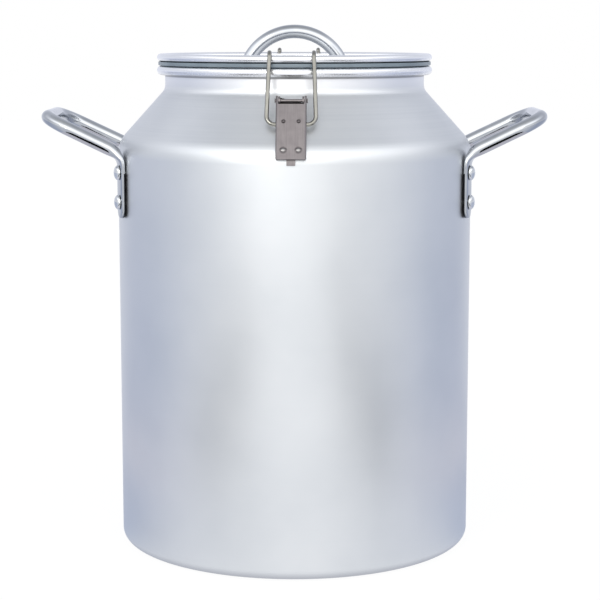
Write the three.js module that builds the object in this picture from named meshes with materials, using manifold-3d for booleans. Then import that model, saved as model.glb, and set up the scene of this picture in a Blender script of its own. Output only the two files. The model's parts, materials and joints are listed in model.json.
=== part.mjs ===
// Clamp-lid steam canner: a spun aluminium can with a conical shoulder and a rolled mouth, a dished lid
// on a flat gasket, two rod loop handles, an arched lid handle and two wire-bail toggle latches.
// Millimetres, +Z up. The origin is the centre of the flat base, and the front latch faces -Y.
import * as THREE from 'three';
import { mergeVertices } from 'three/addons/utils/BufferGeometryUtils.js';
import Module from 'manifold-3d';

const wasm = await Module();
wasm.setup();

// ---------- driving dimensions ----------
const seat = 0.3; // gap left between pieces that touch
const curvedSeat = 0.7; // the same under a flat rivet tail inside the round wall
const roundSegments = 48;

// can
const bodyRadius = 125;
const wall = 1.8;
const baseCorner = 7.5;
const bodyHeight = 285.4; // to the sharp corner where the shoulder starts
const shoulderAngle = THREE.MathUtils.degToRad(47.9); // of the cone above the horizontal
const shoulderBlend = 20;
const neckBlend = 8;
const shoulderWidth = 33.7; // from the wall in to the neck
const neckHeight = 9.9;
const canRimLip = 5.6; // of the rolled rim, beyond the neck
const canRimHeight = 6.4;

// lid and gasket
const gasketThickness = 2.5;
const gasketInset = 0.9; // from the edge of the can's rim
const lidWall = 1.6;
const lidRimInset = 0.1;
const lidRimHeight = 5.2;
const lidRimWidth = 5.2;
const lidLedgeDrop = 3.4; // from the crest of the rim to the ledge inside it
const lidDepth = 18.2; // from the crest of the rim to the top of the floor
const plugClearance = 1; // between the lid's plug and the neck
const ventRadius = 4.5;
const ventOffset = 46; // from the middle of the lid

// handles, bent from one size of rod with flattened feet
const rodRadius = 4.75;
const footWidth = 13.5;
const footThickness = 3.3;
const sideHandleSpread = 80; // between the centre lines of the two rods
const sideHandleThrow = 46.5; // from the can's wall to the centre of the end bar
const sideHandleRise = THREE.MathUtils.degToRad(25.5);
const sideHandleCorner = 19;
const sideHandleBend = 13;
const sideFootBearing = THREE.MathUtils.degToRad(19.8); // of each foot, from the X axis
const sideElbowDrop = 6.3; // from the shoulder's corner to where the sloping rod meets the line of the foot
const sideFootLength = 44.1; // from there down to the end of the foot
const sideRivetShares = [0.25, 0.71]; // of that length, up from its end
const lidHandleRise = 20.3; // above the crest of the lid's rim
const lidHandleBend = 10;
const lidFootInset = 13.9; // from the side of the dish to the end of the foot
const lidFootLength = 37; // from the arch's centre line to the end of the foot
const lidRivetShares = [0.4, 0.78]; // of that length, out from the arch

// rivets: shank radius, head radius, dome height, tail radius, tail height
const handleRivet = { shank: 2.5, head: 5.3, dome: 3.1, tail: 4, tailHeight: 1.4 };
const latchRivet = { shank: 1.6, head: 3.2, dome: 1.2, tail: 2.8, tailHeight: 1.1 };
const holeClearance = 0.3;

// latches
const latchTurns = { front: -0.95, back: -1.87 }; // degrees about the can's axis, off the Y axis
const hingeHeight = 9.4; // of the hinge pin above the cone
const hingeUp = 35.7; // from the shoulder's corner up the slope to under the hinge pin
const bailPivotHeight = 3.9; // of the bail's pivot above the cone
const bailPivotUp = 20.4; // up the slope to under that pivot
const leverLean = THREE.MathUtils.degToRad(26); // of the closed lever, out of the vertical
const leverWidth = 20;
const leverSheet = 1.3;
const leverEar = 3.3; // radius of the lever's eyes about the hinge pin
const leverLobe = 2.7; // radius of its flanges about the bail's pivot
const leverLength = 42.1; // from the hinge pin to the free end
const leverEdge = 2.4; // depth of the flanges at the free end
const leverTaperEnd = 28.4; // from the hinge pin to where they have tapered to that
const leverSlot = 3.6; // from the hinge pin down to the upper edge of the plate
// two dimples and two raised pips on the lever: dimples from the hinge pin, pips from the free end
const leverMarks = { spread: 4.9, dimpleDown: 15.8, dimple: 1.35, dimpleDepth: 0.85, pipRise: 6.3 };
const leverPip = { across: 2.7, along: 1.65, height: 0.75 };
const baseSheet = 1.2;
const baseEar = 2.9;
const baseTongueWidth = 5.6;
const baseNarrowing = [28.6, 33.6]; // down the slope from the hinge pin, to the tongue's width
const baseTongueDrop = 0.4; // straight end of the tongue, past its bend over the shoulder
const latchRivetPlaces = [5, 22]; // down the slope from the hinge pin
const pinRadius = 1.1;
const pinHead = 1.6;
const pinHeadThickness = 0.5;
const pinClearance = 0.25;
const wireRadius = 1.45;
const wireSpreadTop = 29.2;
const wireSpreadBottom = 32.5;
const wireBend = 5.5;
const hookClearance = 0.35; // between the hooks and the lid's rim
const hookWrap = THREE.MathUtils.degToRad(46); // past the crest of the rim

// ---------- radii and levels that follow ----------
const neckRadius = bodyRadius - shoulderWidth;
const canRimRadius = neckRadius + canRimLip;
const gasketRadius = canRimRadius - gasketInset;
const lidRimRadius = canRimRadius - lidRimInset;
const coneTop = bodyHeight + shoulderWidth * Math.tan(shoulderAngle);
const canRimBottom = coneTop + neckHeight;
const canTop = canRimBottom + canRimHeight;
const gasketBottom = canTop + seat;
const lidRimBottom = gasketBottom + gasketThickness + seat;
const lidTop = lidRimBottom + lidRimHeight;
const lidFloor = lidTop - lidDepth;
const neckBore = neckRadius - wall;
const plugRadius = neckBore - plugClearance;
const plugInner = plugRadius - lidWall;
const slopeDown = new THREE.Vector2(Math.cos(shoulderAngle), -Math.sin(shoulderAngle));
const slopeOut = new THREE.Vector2(Math.sin(shoulderAngle), Math.cos(shoulderAngle));

// ---------- materials ----------
const metal = (color, roughness) => new THREE.MeshStandardMaterial({ color, roughness, metalness: 1 });
const aluminium = metal(0xd4d6da, 0.38);
const chromed = metal(0xd9d9d6, 0.12);
const latchSteel = metal(0xa59e9e, 0.42);
const wireSteel = metal(0xb9b2a6, 0.25);
const rivetMetal = metal(0xcfd0d2, 0.2);
const rubber = new THREE.MeshStandardMaterial({ color: 0x74858b, roughness: 0.7, metalness: 0 });

// ---------- shaping ----------
// An outline through corners [x, y, radius], with every corner that has a radius rounded by an arc.
function roundedOutline(corners, closed) {
  const points = [];
  const arcStep = THREE.MathUtils.degToRad(31);
  corners.forEach(([x, y, radius = 0], index) => {
    const corner = new THREE.Vector2(x, y);
    const open = !closed && (index === 0 || index === corners.length - 1);
    if (!radius || open) {
      points.push(corner);
      return;
    }
    const [px, py] = corners[(index + corners.length - 1) % corners.length];
    const [nx, ny] = corners[(index + 1) % corners.length];
    const back = new THREE.Vector2(px, py).sub(corner).normalize();
    const ahead = new THREE.Vector2(nx, ny).sub(corner).normalize();
    const halfTurn = Math.acos(THREE.MathUtils.clamp(back.dot(ahead), -1, 1)) / 2;
    const towards = back.clone().add(ahead).normalize();
    const centre = towards.multiplyScalar(radius / Math.sin(halfTurn)).add(corner);
    const start = back.clone().multiplyScalar(radius / Math.tan(halfTurn)).add(corner).sub(centre);
    const turn = (Math.PI - 2 * halfTurn) * Math.sign(back.cross(ahead)) * -1;
    const steps = radius < 1.5 ? 1 : Math.ceil(Math.abs(turn) / arcStep);
    for (let step = 0; step <= steps; step += 1) {
      points.push(start.clone().rotateAround(new THREE.Vector2(), (turn * step) / steps).add(centre));
    }
  });
  return points;
}

// A closed mesh as a solid, with its faces turned outwards, and a solid as a geometry.
function toSolid(geometry) {
  const bare = new THREE.BufferGeometry();
  bare.setAttribute('position', geometry.getAttribute('position').clone());
  if (geometry.index) bare.setIndex(geometry.index.clone());
  const merged = mergeVertices(bare, 1e-4);
  const corners = merged.getAttribute('position');
  const faces = [];
  let volume = 0;
  const a = new THREE.Vector3();
  const b = new THREE.Vector3();
  const c = new THREE.Vector3();
  for (let start = 0; start < merged.index.count; start += 3) {
    const [i, j, k] = [0, 1, 2].map((offset) => merged.index.getX(start + offset));
    if (i === j || j === k || k === i) continue;
    faces.push(i, j, k);
    a.fromBufferAttribute(corners, i);
    b.fromBufferAttribute(corners, j);
    c.fromBufferAttribute(corners, k);
    volume += a.dot(b.cross(c));
  }
  if (volume < 0) faces.reverse();
  const vertProperties = Float32Array.from(corners.array);
  const triVerts = Uint32Array.from(faces);
  return new wasm.Manifold(new wasm.Mesh({ numProp: 3, vertProperties, triVerts }));
}

function toGeometry(solid) {
  const { vertProperties, triVerts } = solid.getMesh();
  const geometry = new THREE.BufferGeometry();
  geometry.setAttribute('position', new THREE.BufferAttribute(vertProperties, 3));
  geometry.setIndex(new THREE.BufferAttribute(triVerts, 1));
  geometry.computeVertexNormals();
  return geometry;
}

// A solid of revolution about Z from an outline of radius and height, with a corner line at -Y.
function turned(outline, segments = roundSegments) {
  return toSolid(new THREE.LatheGeometry(outline, segments).rotateX(Math.PI / 2));
}

// A plate: an outline in a plane, extruded evenly to both sides of it and then placed by a matrix.
function plate(outline, thickness, matrix) {
  const settings = { depth: thickness, bevelEnabled: false };
  const geometry = new THREE.ExtrudeGeometry(new THREE.Shape(outline), settings);
  geometry.translate(0, 0, -thickness / 2);
  return toSolid(geometry.applyMatrix4(matrix));
}

// A straight pin or drill between two points.
function rod(from, to, radius, segments = 10) {
  const span = to.clone().sub(from);
  const up = new THREE.Vector3(0, 1, 0);
  const turn = new THREE.Quaternion().setFromUnitVectors(up, span.clone().normalize());
  const geometry = new THREE.CylinderGeometry(radius, radius, span.length(), segments);
  return toSolid(geometry.applyQuaternion(turn).translate(...from.clone().add(to).multiplyScalar(0.5)));
}

// A loft through rings. Each ring has a point, a direction across and one through the section, the half
// sizes along them, and a bulge of 1 for an ellipse, falling towards 0 for a rectangle.
function loft(rings, segments = 12) {
  const positions = [];
  const faces = [];
  rings.forEach(({ point, across, through, halfWidth, halfThickness, bulge = 1 }) => {
    for (let side = 0; side < segments; side += 1) {
      const angle = (2 * Math.PI * (side + 0.5)) / segments;
      const shaped = (value) => Math.sign(value) * Math.abs(value) ** bulge;
      const corner = point.clone();
      corner.addScaledVector(across, halfWidth * shaped(Math.cos(angle)));
      corner.addScaledVector(through, halfThickness * shaped(Math.sin(angle)));
      positions.push(...corner);
    }
  });
  for (let ring = 0; ring < rings.length - 1; ring += 1) {
    for (let side = 0; side < segments; side += 1) {
      const a = ring * segments + side;
      const b = ring * segments + ((side + 1) % segments);
      faces.push(a, b, b + segments, a, b + segments, a + segments);
    }
  }
  const last = (rings.length - 1) * segments;
  for (let side = 1; side < segments - 1; side += 1) {
    faces.push(0, side + 1, side, last, last + side, last + side + 1);
  }
  const geometry = new THREE.BufferGeometry();
  geometry.setAttribute('position', new THREE.Float32BufferAttribute(positions, 3));
  geometry.setIndex(faces);
  return toSolid(geometry);
}

// A path through points in space, [point, bend radius], as short straight steps with round bends.
function bentPath(stops) {
  const points = [];
  const bendStep = THREE.MathUtils.degToRad(23);
  stops.forEach(([stop, radius = 0], index) => {
    if (!radius) {
      points.push(stop.clone());
      return;
    }
    const back = stops[index - 1][0].clone().sub(stop).normalize();
    const ahead = stops[index + 1][0].clone().sub(stop).normalize();
    const halfTurn = back.angleTo(ahead) / 2;
    const axis = back.clone().cross(ahead).normalize();
    const middle = back.clone().add(ahead).normalize();
    const centre = middle.multiplyScalar(radius / Math.sin(halfTurn)).add(stop);
    const start = back.multiplyScalar(radius / Math.tan(halfTurn)).add(stop).sub(centre);
    const turn = Math.PI - 2 * halfTurn;
    const steps = Math.max(2, Math.ceil(turn / bendStep));
    for (let step = 0; step <= steps; step += 1) {
      points.push(start.clone().applyAxisAngle(axis, (-turn * step) / steps).add(centre));
    }
  });
  return points;
}

// The direction of travel at each point of a path.
function headings(points) {
  return points.map((point, index) => {
    const before = points[Math.max(index - 1, 0)];
    const after = points[Math.min(index + 1, points.length - 1)];
    return after.clone().sub(before).normalize();
  });
}

// Rings of a rod that runs along a path and is pressed flat towards its ends. 'face' gives, for each
// point, the direction in which the flat foot is thin, and 'flat' how flat it is, from 0 to 1.
function flattenedRod(points, face, flat) {
  const ways = headings(points);
  return points.map((point, index) => {
    const way = ways[index];
    const thin = face(point, index);
    const through = thin.clone().addScaledVector(way, -thin.dot(way)).normalize();
    const across = through.clone().cross(way).normalize();
    const share = flat(point, index);
    const halfWidth = THREE.MathUtils.lerp(rodRadius, footWidth / 2, share);
    const halfThickness = THREE.MathUtils.lerp(rodRadius, footThickness / 2, share);
    return { point, across, through, halfWidth, halfThickness, bulge: 1 - share * 0.5 };
  });
}

// The round end of a flat foot: narrower rings beyond the last one.
function roundedEnd(ring, outwards) {
  return [0.92, 0.72, 0.38].map((share) => {
    const beyond = ring.halfWidth * Math.sqrt(1 - share * share);
    const point = ring.point.clone().addScaledVector(outwards, beyond);
    return { ...ring, point, halfWidth: ring.halfWidth * share };
  });
}

// ---------- rivets ----------
// A rivet on the Z axis: its head sits on z = 0 and its tail is 'grip' below.
function rivetSolid({ shank, head, dome, tail, tailHeight }, grip) {
  const outline = [
    new THREE.Vector2(0, -grip - tailHeight),
    new THREE.Vector2(tail * 0.85, -grip - tailHeight),
    new THREE.Vector2(tail, -grip),
    new THREE.Vector2(shank, -grip),
    new THREE.Vector2(shank, 0),
    new THREE.Vector2(head, 0),
  ];
  const domeSteps = 3;
  for (let step = 1; step < domeSteps; step += 1) {
    const angle = (Math.PI / 2) * (step / domeSteps);
    outline.push(new THREE.Vector2(head * Math.cos(angle), dome * Math.sin(angle)));
  }
  outline.push(new THREE.Vector2(0, dome));
  return turned(outline, 10);
}

// Places a rivet with its head's underside at a point and its head facing 'outwards'.
function rivetMesh(name, sizes, grip, point, outwards) {
  const mesh = new THREE.Mesh(toGeometry(rivetSolid(sizes, grip)), rivetMetal);
  mesh.name = name;
  mesh.position.copy(point);
  mesh.quaternion.setFromUnitVectors(new THREE.Vector3(0, 0, 1), outwards);
  return mesh;
}

// The drill for such a rivet's hole, through everything within reach of it.
function rivetDrill({ shank }, grip, point, outwards) {
  const from = point.clone().addScaledVector(outwards, -grip - 2);
  return rod(from, point.clone().addScaledVector(outwards, 2), shank + holeClearance);
}

// ---------- where the pieces go ----------
const bearing = (angle, radius, height) => (
  new THREE.Vector3(radius * Math.cos(angle), radius * Math.sin(angle), height)
);
const sideGrip = footThickness + wall + 2 * seat + curvedSeat;
const sideFootRadius = bodyRadius + seat + footThickness / 2;
const sideElbowHeight = bodyHeight - sideElbowDrop;
const sideFootBottom = sideElbowHeight - sideFootLength;
const sideHandleReach = bodyRadius + sideHandleThrow;
const sideRivets = [];
['left', 'right'].forEach((side, sideIndex) => {
  const axisBearing = sideIndex === 0 ? Math.PI : 0;
  ['front', 'back'].forEach((end, endIndex) => {
    const turnAway = (endIndex === 0 ? -1 : 1) * (sideIndex === 0 ? -1 : 1) * sideFootBearing;
    const angle = axisBearing + turnAway;
    ['lower', 'upper'].forEach((level, levelIndex) => {
      const outwards = bearing(angle, 1, 0);
      const headRadius = sideFootRadius + footThickness / 2 + seat;
      const rivetLevel = sideFootBottom + sideFootLength * sideRivetShares[levelIndex];
      const point = bearing(angle, headRadius, rivetLevel);
      sideRivets.push({ name: `${side}_handle_rivet_${end}_${level}`, side, point, outwards });
    });
  });
});

const lidFootLevel = lidFloor + seat + footThickness / 2;
const lidFootEnd = plugInner - lidFootInset;
const lidHandleRadius = lidFootEnd - lidFootLength; // of the arch's centre line
const lidHandleTop = lidTop + lidHandleRise;
const lidGrip = footThickness + lidWall + 3 * seat;
const lidRivets = [];
['left', 'right'].forEach((side, sideIndex) => {
  ['inner', 'outer'].forEach((place, placeIndex) => {
    const reach = lidHandleRadius + lidFootLength * lidRivetShares[placeIndex];
    const x = (sideIndex === 0 ? -1 : 1) * reach;
    const point = new THREE.Vector3(x, 0, lidFootLevel + footThickness / 2 + seat);
    lidRivets.push({ name: `lid_handle_rivet_${side}_${place}`, point });
  });
});

// In a latch's own frame Y points out from the can's axis. Places on it are given down the slope from
// the hinge pin and out from the cone.
const conePoint = (up, height) => (
  new THREE.Vector2(bodyRadius, bodyHeight)
    .addScaledVector(slopeDown, -up).addScaledVector(slopeOut, height)
);
const hinge = conePoint(hingeUp, hingeHeight);
const bailPivot = conePoint(bailPivotUp, bailPivotHeight);
const hingeFoot = hinge.clone().addScaledVector(slopeOut, -hingeHeight);
const onSlope = (down, out) => (
  hingeFoot.clone().addScaledVector(slopeDown, down).addScaledVector(slopeOut, out)
);
const latchPoint = (x, flat) => new THREE.Vector3(x, flat.x, flat.y);
const latchOut = new THREE.Vector3(0, slopeOut.x, slopeOut.y);
const latchGrip = baseSheet + wall + 2 * seat + curvedSeat;
const latchRivetPoints = latchRivetPlaces.map((down) => latchPoint(0, onSlope(down, baseSheet + 2 * seat)));
const latchFrame = { front: Math.PI, back: 0 };
const turnAbout = (side) => latchFrame[side] + THREE.MathUtils.degToRad(latchTurns[side]);

// ---------- can ----------
function canBody() {
  const inset = wall * Math.tan((Math.PI / 2 - shoulderAngle) / 2);
  const outline = roundedOutline([
    [0, 0],
    [bodyRadius, 0, baseCorner],
    [bodyRadius, bodyHeight, shoulderBlend],
    [neckRadius, coneTop, neckBlend],
    [neckRadius, canRimBottom, 1],
    [canRimRadius, canRimBottom, canRimHeight / 2 - 0.05],
    [canRimRadius, canTop, canRimHeight / 2 - 0.05],
    [neckBore, canTop, 2.4],
    [neckBore, coneTop - inset, neckBlend + wall],
    [bodyRadius - wall, bodyHeight - inset, shoulderBlend - wall],
    [bodyRadius - wall, wall, baseCorner - wall],
    [0, wall],
  ], false);
  let solid = turned(outline);
  sideRivets.forEach(({ point, outwards }) => {
    solid = solid.subtract(rivetDrill(handleRivet, sideGrip, point, outwards));
  });
  Object.keys(latchTurns).forEach((side) => {
    const axis = new THREE.Vector3(0, 0, 1);
    const outwards = latchOut.clone().applyAxisAngle(axis, turnAbout(side));
    latchRivetPoints.forEach((point) => {
      const place = point.clone().applyAxisAngle(axis, turnAbout(side));
      solid = solid.subtract(rivetDrill(latchRivet, latchGrip, place, outwards));
    });
  });
  return solid;
}

// ---------- lid and gasket ----------
function lidShell() {
  const rimInner = lidRimRadius - lidRimWidth;
  const ledge = lidTop - lidLedgeDrop;
  const rimRound = Math.min(lidRimHeight, lidRimWidth) / 2 - 0.05;
  const outline = roundedOutline([
    [0, lidFloor - lidWall],
    [plugRadius, lidFloor - lidWall, 5],
    [plugRadius, lidRimBottom, 0.6],
    [lidRimRadius, lidRimBottom, rimRound],
    [lidRimRadius, lidTop, rimRound],
    [rimInner, lidTop, rimRound],
    [rimInner, ledge, 0.6],
    [plugInner, ledge, 1.4],
    [plugInner, lidFloor, 5 - lidWall],
    [0, lidFloor],
  ], false);
  let solid = turned(outline);
  const up = new THREE.Vector3(0, 0, 1);
  lidRivets.forEach(({ point }) => {
    solid = solid.subtract(rivetDrill(handleRivet, lidGrip, point, up));
  });
  const ventTop = new THREE.Vector3(0, ventOffset, lidFloor + lidWall);
  const ventBottom = new THREE.Vector3(0, ventOffset, lidFloor - 2 * lidWall);
  return solid.subtract(rod(ventBottom, ventTop, ventRadius, 20));
}

function gasketRing() {
  const inner = plugRadius + seat;
  const top = gasketBottom + gasketThickness;
  const middle = (gasketBottom + top) / 2;
  const edge = 0.4;
  const outline = [
    [inner, gasketBottom], [gasketRadius - edge, gasketBottom], [gasketRadius, middle],
    [gasketRadius - edge, top], [inner, top], [inner, gasketBottom],
  ].map(([x, y]) => new THREE.Vector2(x, y));
  return turned(outline);
}

// ---------- handles ----------
// A rod loop: up from a foot on the wall, out along the slope, across the end bar and back the same way.
function sideHandle(side) {
  const sign = side === 'left' ? -1 : 1;
  const out = new THREE.Vector3(sign, 0, 0);
  const foot = (end, level) => {
    const across = bearing(sideFootBearing, sideFootRadius, level);
    return new THREE.Vector3(sign * across.x, end * across.y, level);
  };
  const elbow = (end) => foot(end, sideElbowHeight);
  const reachFromElbow = sideHandleReach - elbow(1).x * sign;
  const endLevel = sideElbowHeight + reachFromElbow * Math.tan(sideHandleRise);
  const corner = (end) => new THREE.Vector3(sign * sideHandleReach, (end * sideHandleSpread) / 2, endLevel);
  const bottom = sideFootBottom + footWidth / 2;
  const path = bentPath([
    [foot(-1, bottom)],
    [foot(-1, (bottom + sideElbowHeight) / 2 + 4)],
    [elbow(-1), sideHandleBend],
    [corner(-1), sideHandleCorner],
    [corner(1), sideHandleCorner],
    [elbow(1), sideHandleBend],
    [foot(1, (bottom + sideElbowHeight) / 2 + 4)],
    [foot(1, bottom)],
  ]);
  const slopeFace = out.clone().multiplyScalar(-Math.sin(sideHandleRise));
  slopeFace.z = Math.cos(sideHandleRise);
  const bendTop = sideElbowHeight + 4.5;
  const bendBottom = sideElbowHeight - sideHandleBend * 0.5;
  const flatness = (point) => 1 - THREE.MathUtils.smoothstep(point.z, bendBottom, bendTop);
  const face = (point) => {
    const inwards = new THREE.Vector3(-point.x, -point.y, 0).normalize();
    return slopeFace.clone().lerp(inwards, flatness(point));
  };
  const rings = flattenedRod(path, face, flatness);
  const down = new THREE.Vector3(0, 0, -1);
  const start = roundedEnd(rings[0], down).reverse();
  const end = roundedEnd(rings[rings.length - 1], down);
  let solid = loft([...start, ...rings, ...end], 12);
  sideRivets.filter((rivet) => rivet.side === side).forEach(({ point, outwards }) => {
    solid = solid.subtract(rivetDrill(handleRivet, sideGrip, point, outwards));
  });
  return solid;
}

// The lid's handle: a half round arch that turns outwards into two flat feet on the lid's floor.
function lidHandle() {
  const archLevel = lidHandleTop - rodRadius - lidHandleRadius;
  const bendLevel = lidFootLevel + lidHandleBend;
  const bendX = Math.sqrt((lidHandleRadius + lidHandleBend) ** 2 - (bendLevel - archLevel) ** 2);
  const meet = Math.atan2(bendLevel - archLevel, bendX);
  const half = [new THREE.Vector3(lidFootEnd - footWidth / 2, 0, lidFootLevel)];
  const bendSteps = 6;
  for (let step = 0; step <= bendSteps; step += 1) {
    const angle = -Math.PI / 2 - ((Math.PI / 2 - meet) * step) / bendSteps;
    const x = bendX + lidHandleBend * Math.cos(angle);
    half.push(new THREE.Vector3(x, 0, bendLevel + lidHandleBend * Math.sin(angle)));
  }
  const archSteps = 7;
  for (let step = 1; step <= archSteps; step += 1) {
    const angle = meet + ((Math.PI / 2 - meet) * step) / archSteps;
    const x = lidHandleRadius * Math.cos(angle);
    half.push(new THREE.Vector3(x, 0, archLevel + lidHandleRadius * Math.sin(angle)));
  }
  const otherHalf = half.slice(0, -1).reverse().map(({ x, y, z }) => new THREE.Vector3(-x, y, z));
  const path = [...half, ...otherHalf];
  const ways = headings(path);
  const flatness = (point) => 1 - THREE.MathUtils.smoothstep(point.z, lidFootLevel + 0.6, bendLevel + 2);
  const face = (point, index) => new THREE.Vector3(0, 1, 0).cross(ways[index]);
  const rings = flattenedRod(path, face, flatness);
  const start = roundedEnd(rings[0], new THREE.Vector3(1, 0, 0)).reverse();
  const end = roundedEnd(rings[rings.length - 1], new THREE.Vector3(-1, 0, 0));
  let solid = loft([...start, ...rings, ...end], 12);
  lidRivets.forEach(({ point }) => {
    solid = solid.subtract(rivetDrill(handleRivet, lidGrip, point, new THREE.Vector3(0, 0, 1)));
  });
  return solid;
}

// ---------- latch ----------
// A plate drawn in a plane across the latch: the drawing's x is 'first' and its y is 'second'.
function sidePlate(outline, width, origin, first, second) {
  const basis = new THREE.Matrix4().makeBasis(
    latchPoint(0, first), latchPoint(0, second), new THREE.Vector3(1, 0, 0),
  );
  if (basis.determinant() < 0) {
    basis.makeBasis(latchPoint(0, first), latchPoint(0, second), new THREE.Vector3(-1, 0, 0));
  }
  return plate(outline, width, basis.setPosition(latchPoint(0, origin)));
}

// A plate drawn from the front of the latch: the drawing's x is across it and its y runs down 'down'.
function frontPlate(outline, depth, origin, down, out) {
  const basis = new THREE.Matrix4().makeBasis(
    new THREE.Vector3(1, 0, 0), latchPoint(0, down), latchPoint(0, out),
  );
  if (basis.determinant() < 0) {
    basis.makeBasis(new THREE.Vector3(-1, 0, 0), latchPoint(0, down), latchPoint(0, out));
  }
  return plate(outline, depth, basis.setPosition(latchPoint(0, origin)));
}

// Riveted base: a strip that lies on the cone and runs over the shoulder, with two ears for the hinge.
const earSpan = leverWidth - 2 * leverSheet - 2 * seat; // over the outside of the two ears
function latchBase() {
  const turn = Math.PI / 2 - shoulderAngle;
  const blendDown = hingeUp - shoulderBlend * Math.tan(turn / 2);
  const beyond = 2 * (shoulderBlend + baseTongueDrop); // past the end of the bent tongue
  const topEnd = -4.5;
  const strip = [new THREE.Vector2(topEnd, seat)];
  const arc = (radius, share) => new THREE.Vector2(
    blendDown + radius * Math.sin(turn * share), -shoulderBlend + radius * Math.cos(turn * share),
  );
  const innerRadius = shoulderBlend + seat;
  const outerRadius = innerRadius + baseSheet;
  const dropWay = new THREE.Vector2(Math.cos(turn), -Math.sin(turn)).multiplyScalar(baseTongueDrop);
  const shares = [0, 1 / 3, 2 / 3, 1];
  shares.forEach((share) => strip.push(arc(innerRadius, share)));
  strip.push(arc(innerRadius, 1).add(dropWay));
  strip.push(arc(outerRadius, 1).add(dropWay));
  [...shares].reverse().forEach((share) => strip.push(arc(outerRadius, share)));
  strip.push(new THREE.Vector2(topEnd, seat + baseSheet));
  const bent = sidePlate(strip, earSpan, hingeFoot, slopeDown, slopeOut);
  const half = earSpan / 2;
  const tongue = baseTongueWidth / 2;
  const [narrowFrom, narrowTo] = baseNarrowing;
  const front = roundedOutline([
    [-half, topEnd - 1],
    [half, topEnd - 1],
    [half, narrowFrom, 2],
    [tongue, narrowTo, 2],
    [tongue, blendDown + beyond],
    [-tongue, blendDown + beyond],
    [-tongue, narrowTo, 2],
    [-half, narrowFrom, 2],
  ], true);
  const trimmed = bent.intersect(frontPlate(front, 2 * beyond, hingeFoot, slopeDown, slopeOut));
  const earFoot = 4.5;
  const earBottom = seat + baseSheet / 2;
  const ear = [new THREE.Vector2(earFoot, earBottom), new THREE.Vector2(-earFoot, earBottom)];
  for (let step = 0; step <= 6; step += 1) {
    const angle = Math.PI * (1 - step / 6);
    ear.push(new THREE.Vector2(baseEar * Math.cos(angle), hingeHeight + baseEar * Math.sin(angle)));
  }
  const ears = sidePlate(ear, earSpan, hingeFoot, slopeDown, slopeOut);
  const reach = earFoot + 1;
  const gapTop = hingeHeight + 2 * baseEar;
  const between = [[reach, seat + baseSheet], [-reach, seat + baseSheet], [-reach, gapTop], [reach, gapTop]]
    .map(([x, y]) => new THREE.Vector2(x, y));
  const gap = sidePlate(between, earSpan - 2 * baseSheet, hingeFoot, slopeDown, slopeOut);
  let solid = trimmed.add(ears.subtract(gap));
  solid = solid.subtract(rod(latchPoint(-leverWidth, hinge), latchPoint(leverWidth, hinge),
    pinRadius + pinClearance));
  latchRivetPoints.forEach((point) => {
    solid = solid.subtract(rivetDrill(latchRivet, latchGrip, point, latchOut));
  });
  return solid;
}

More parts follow.
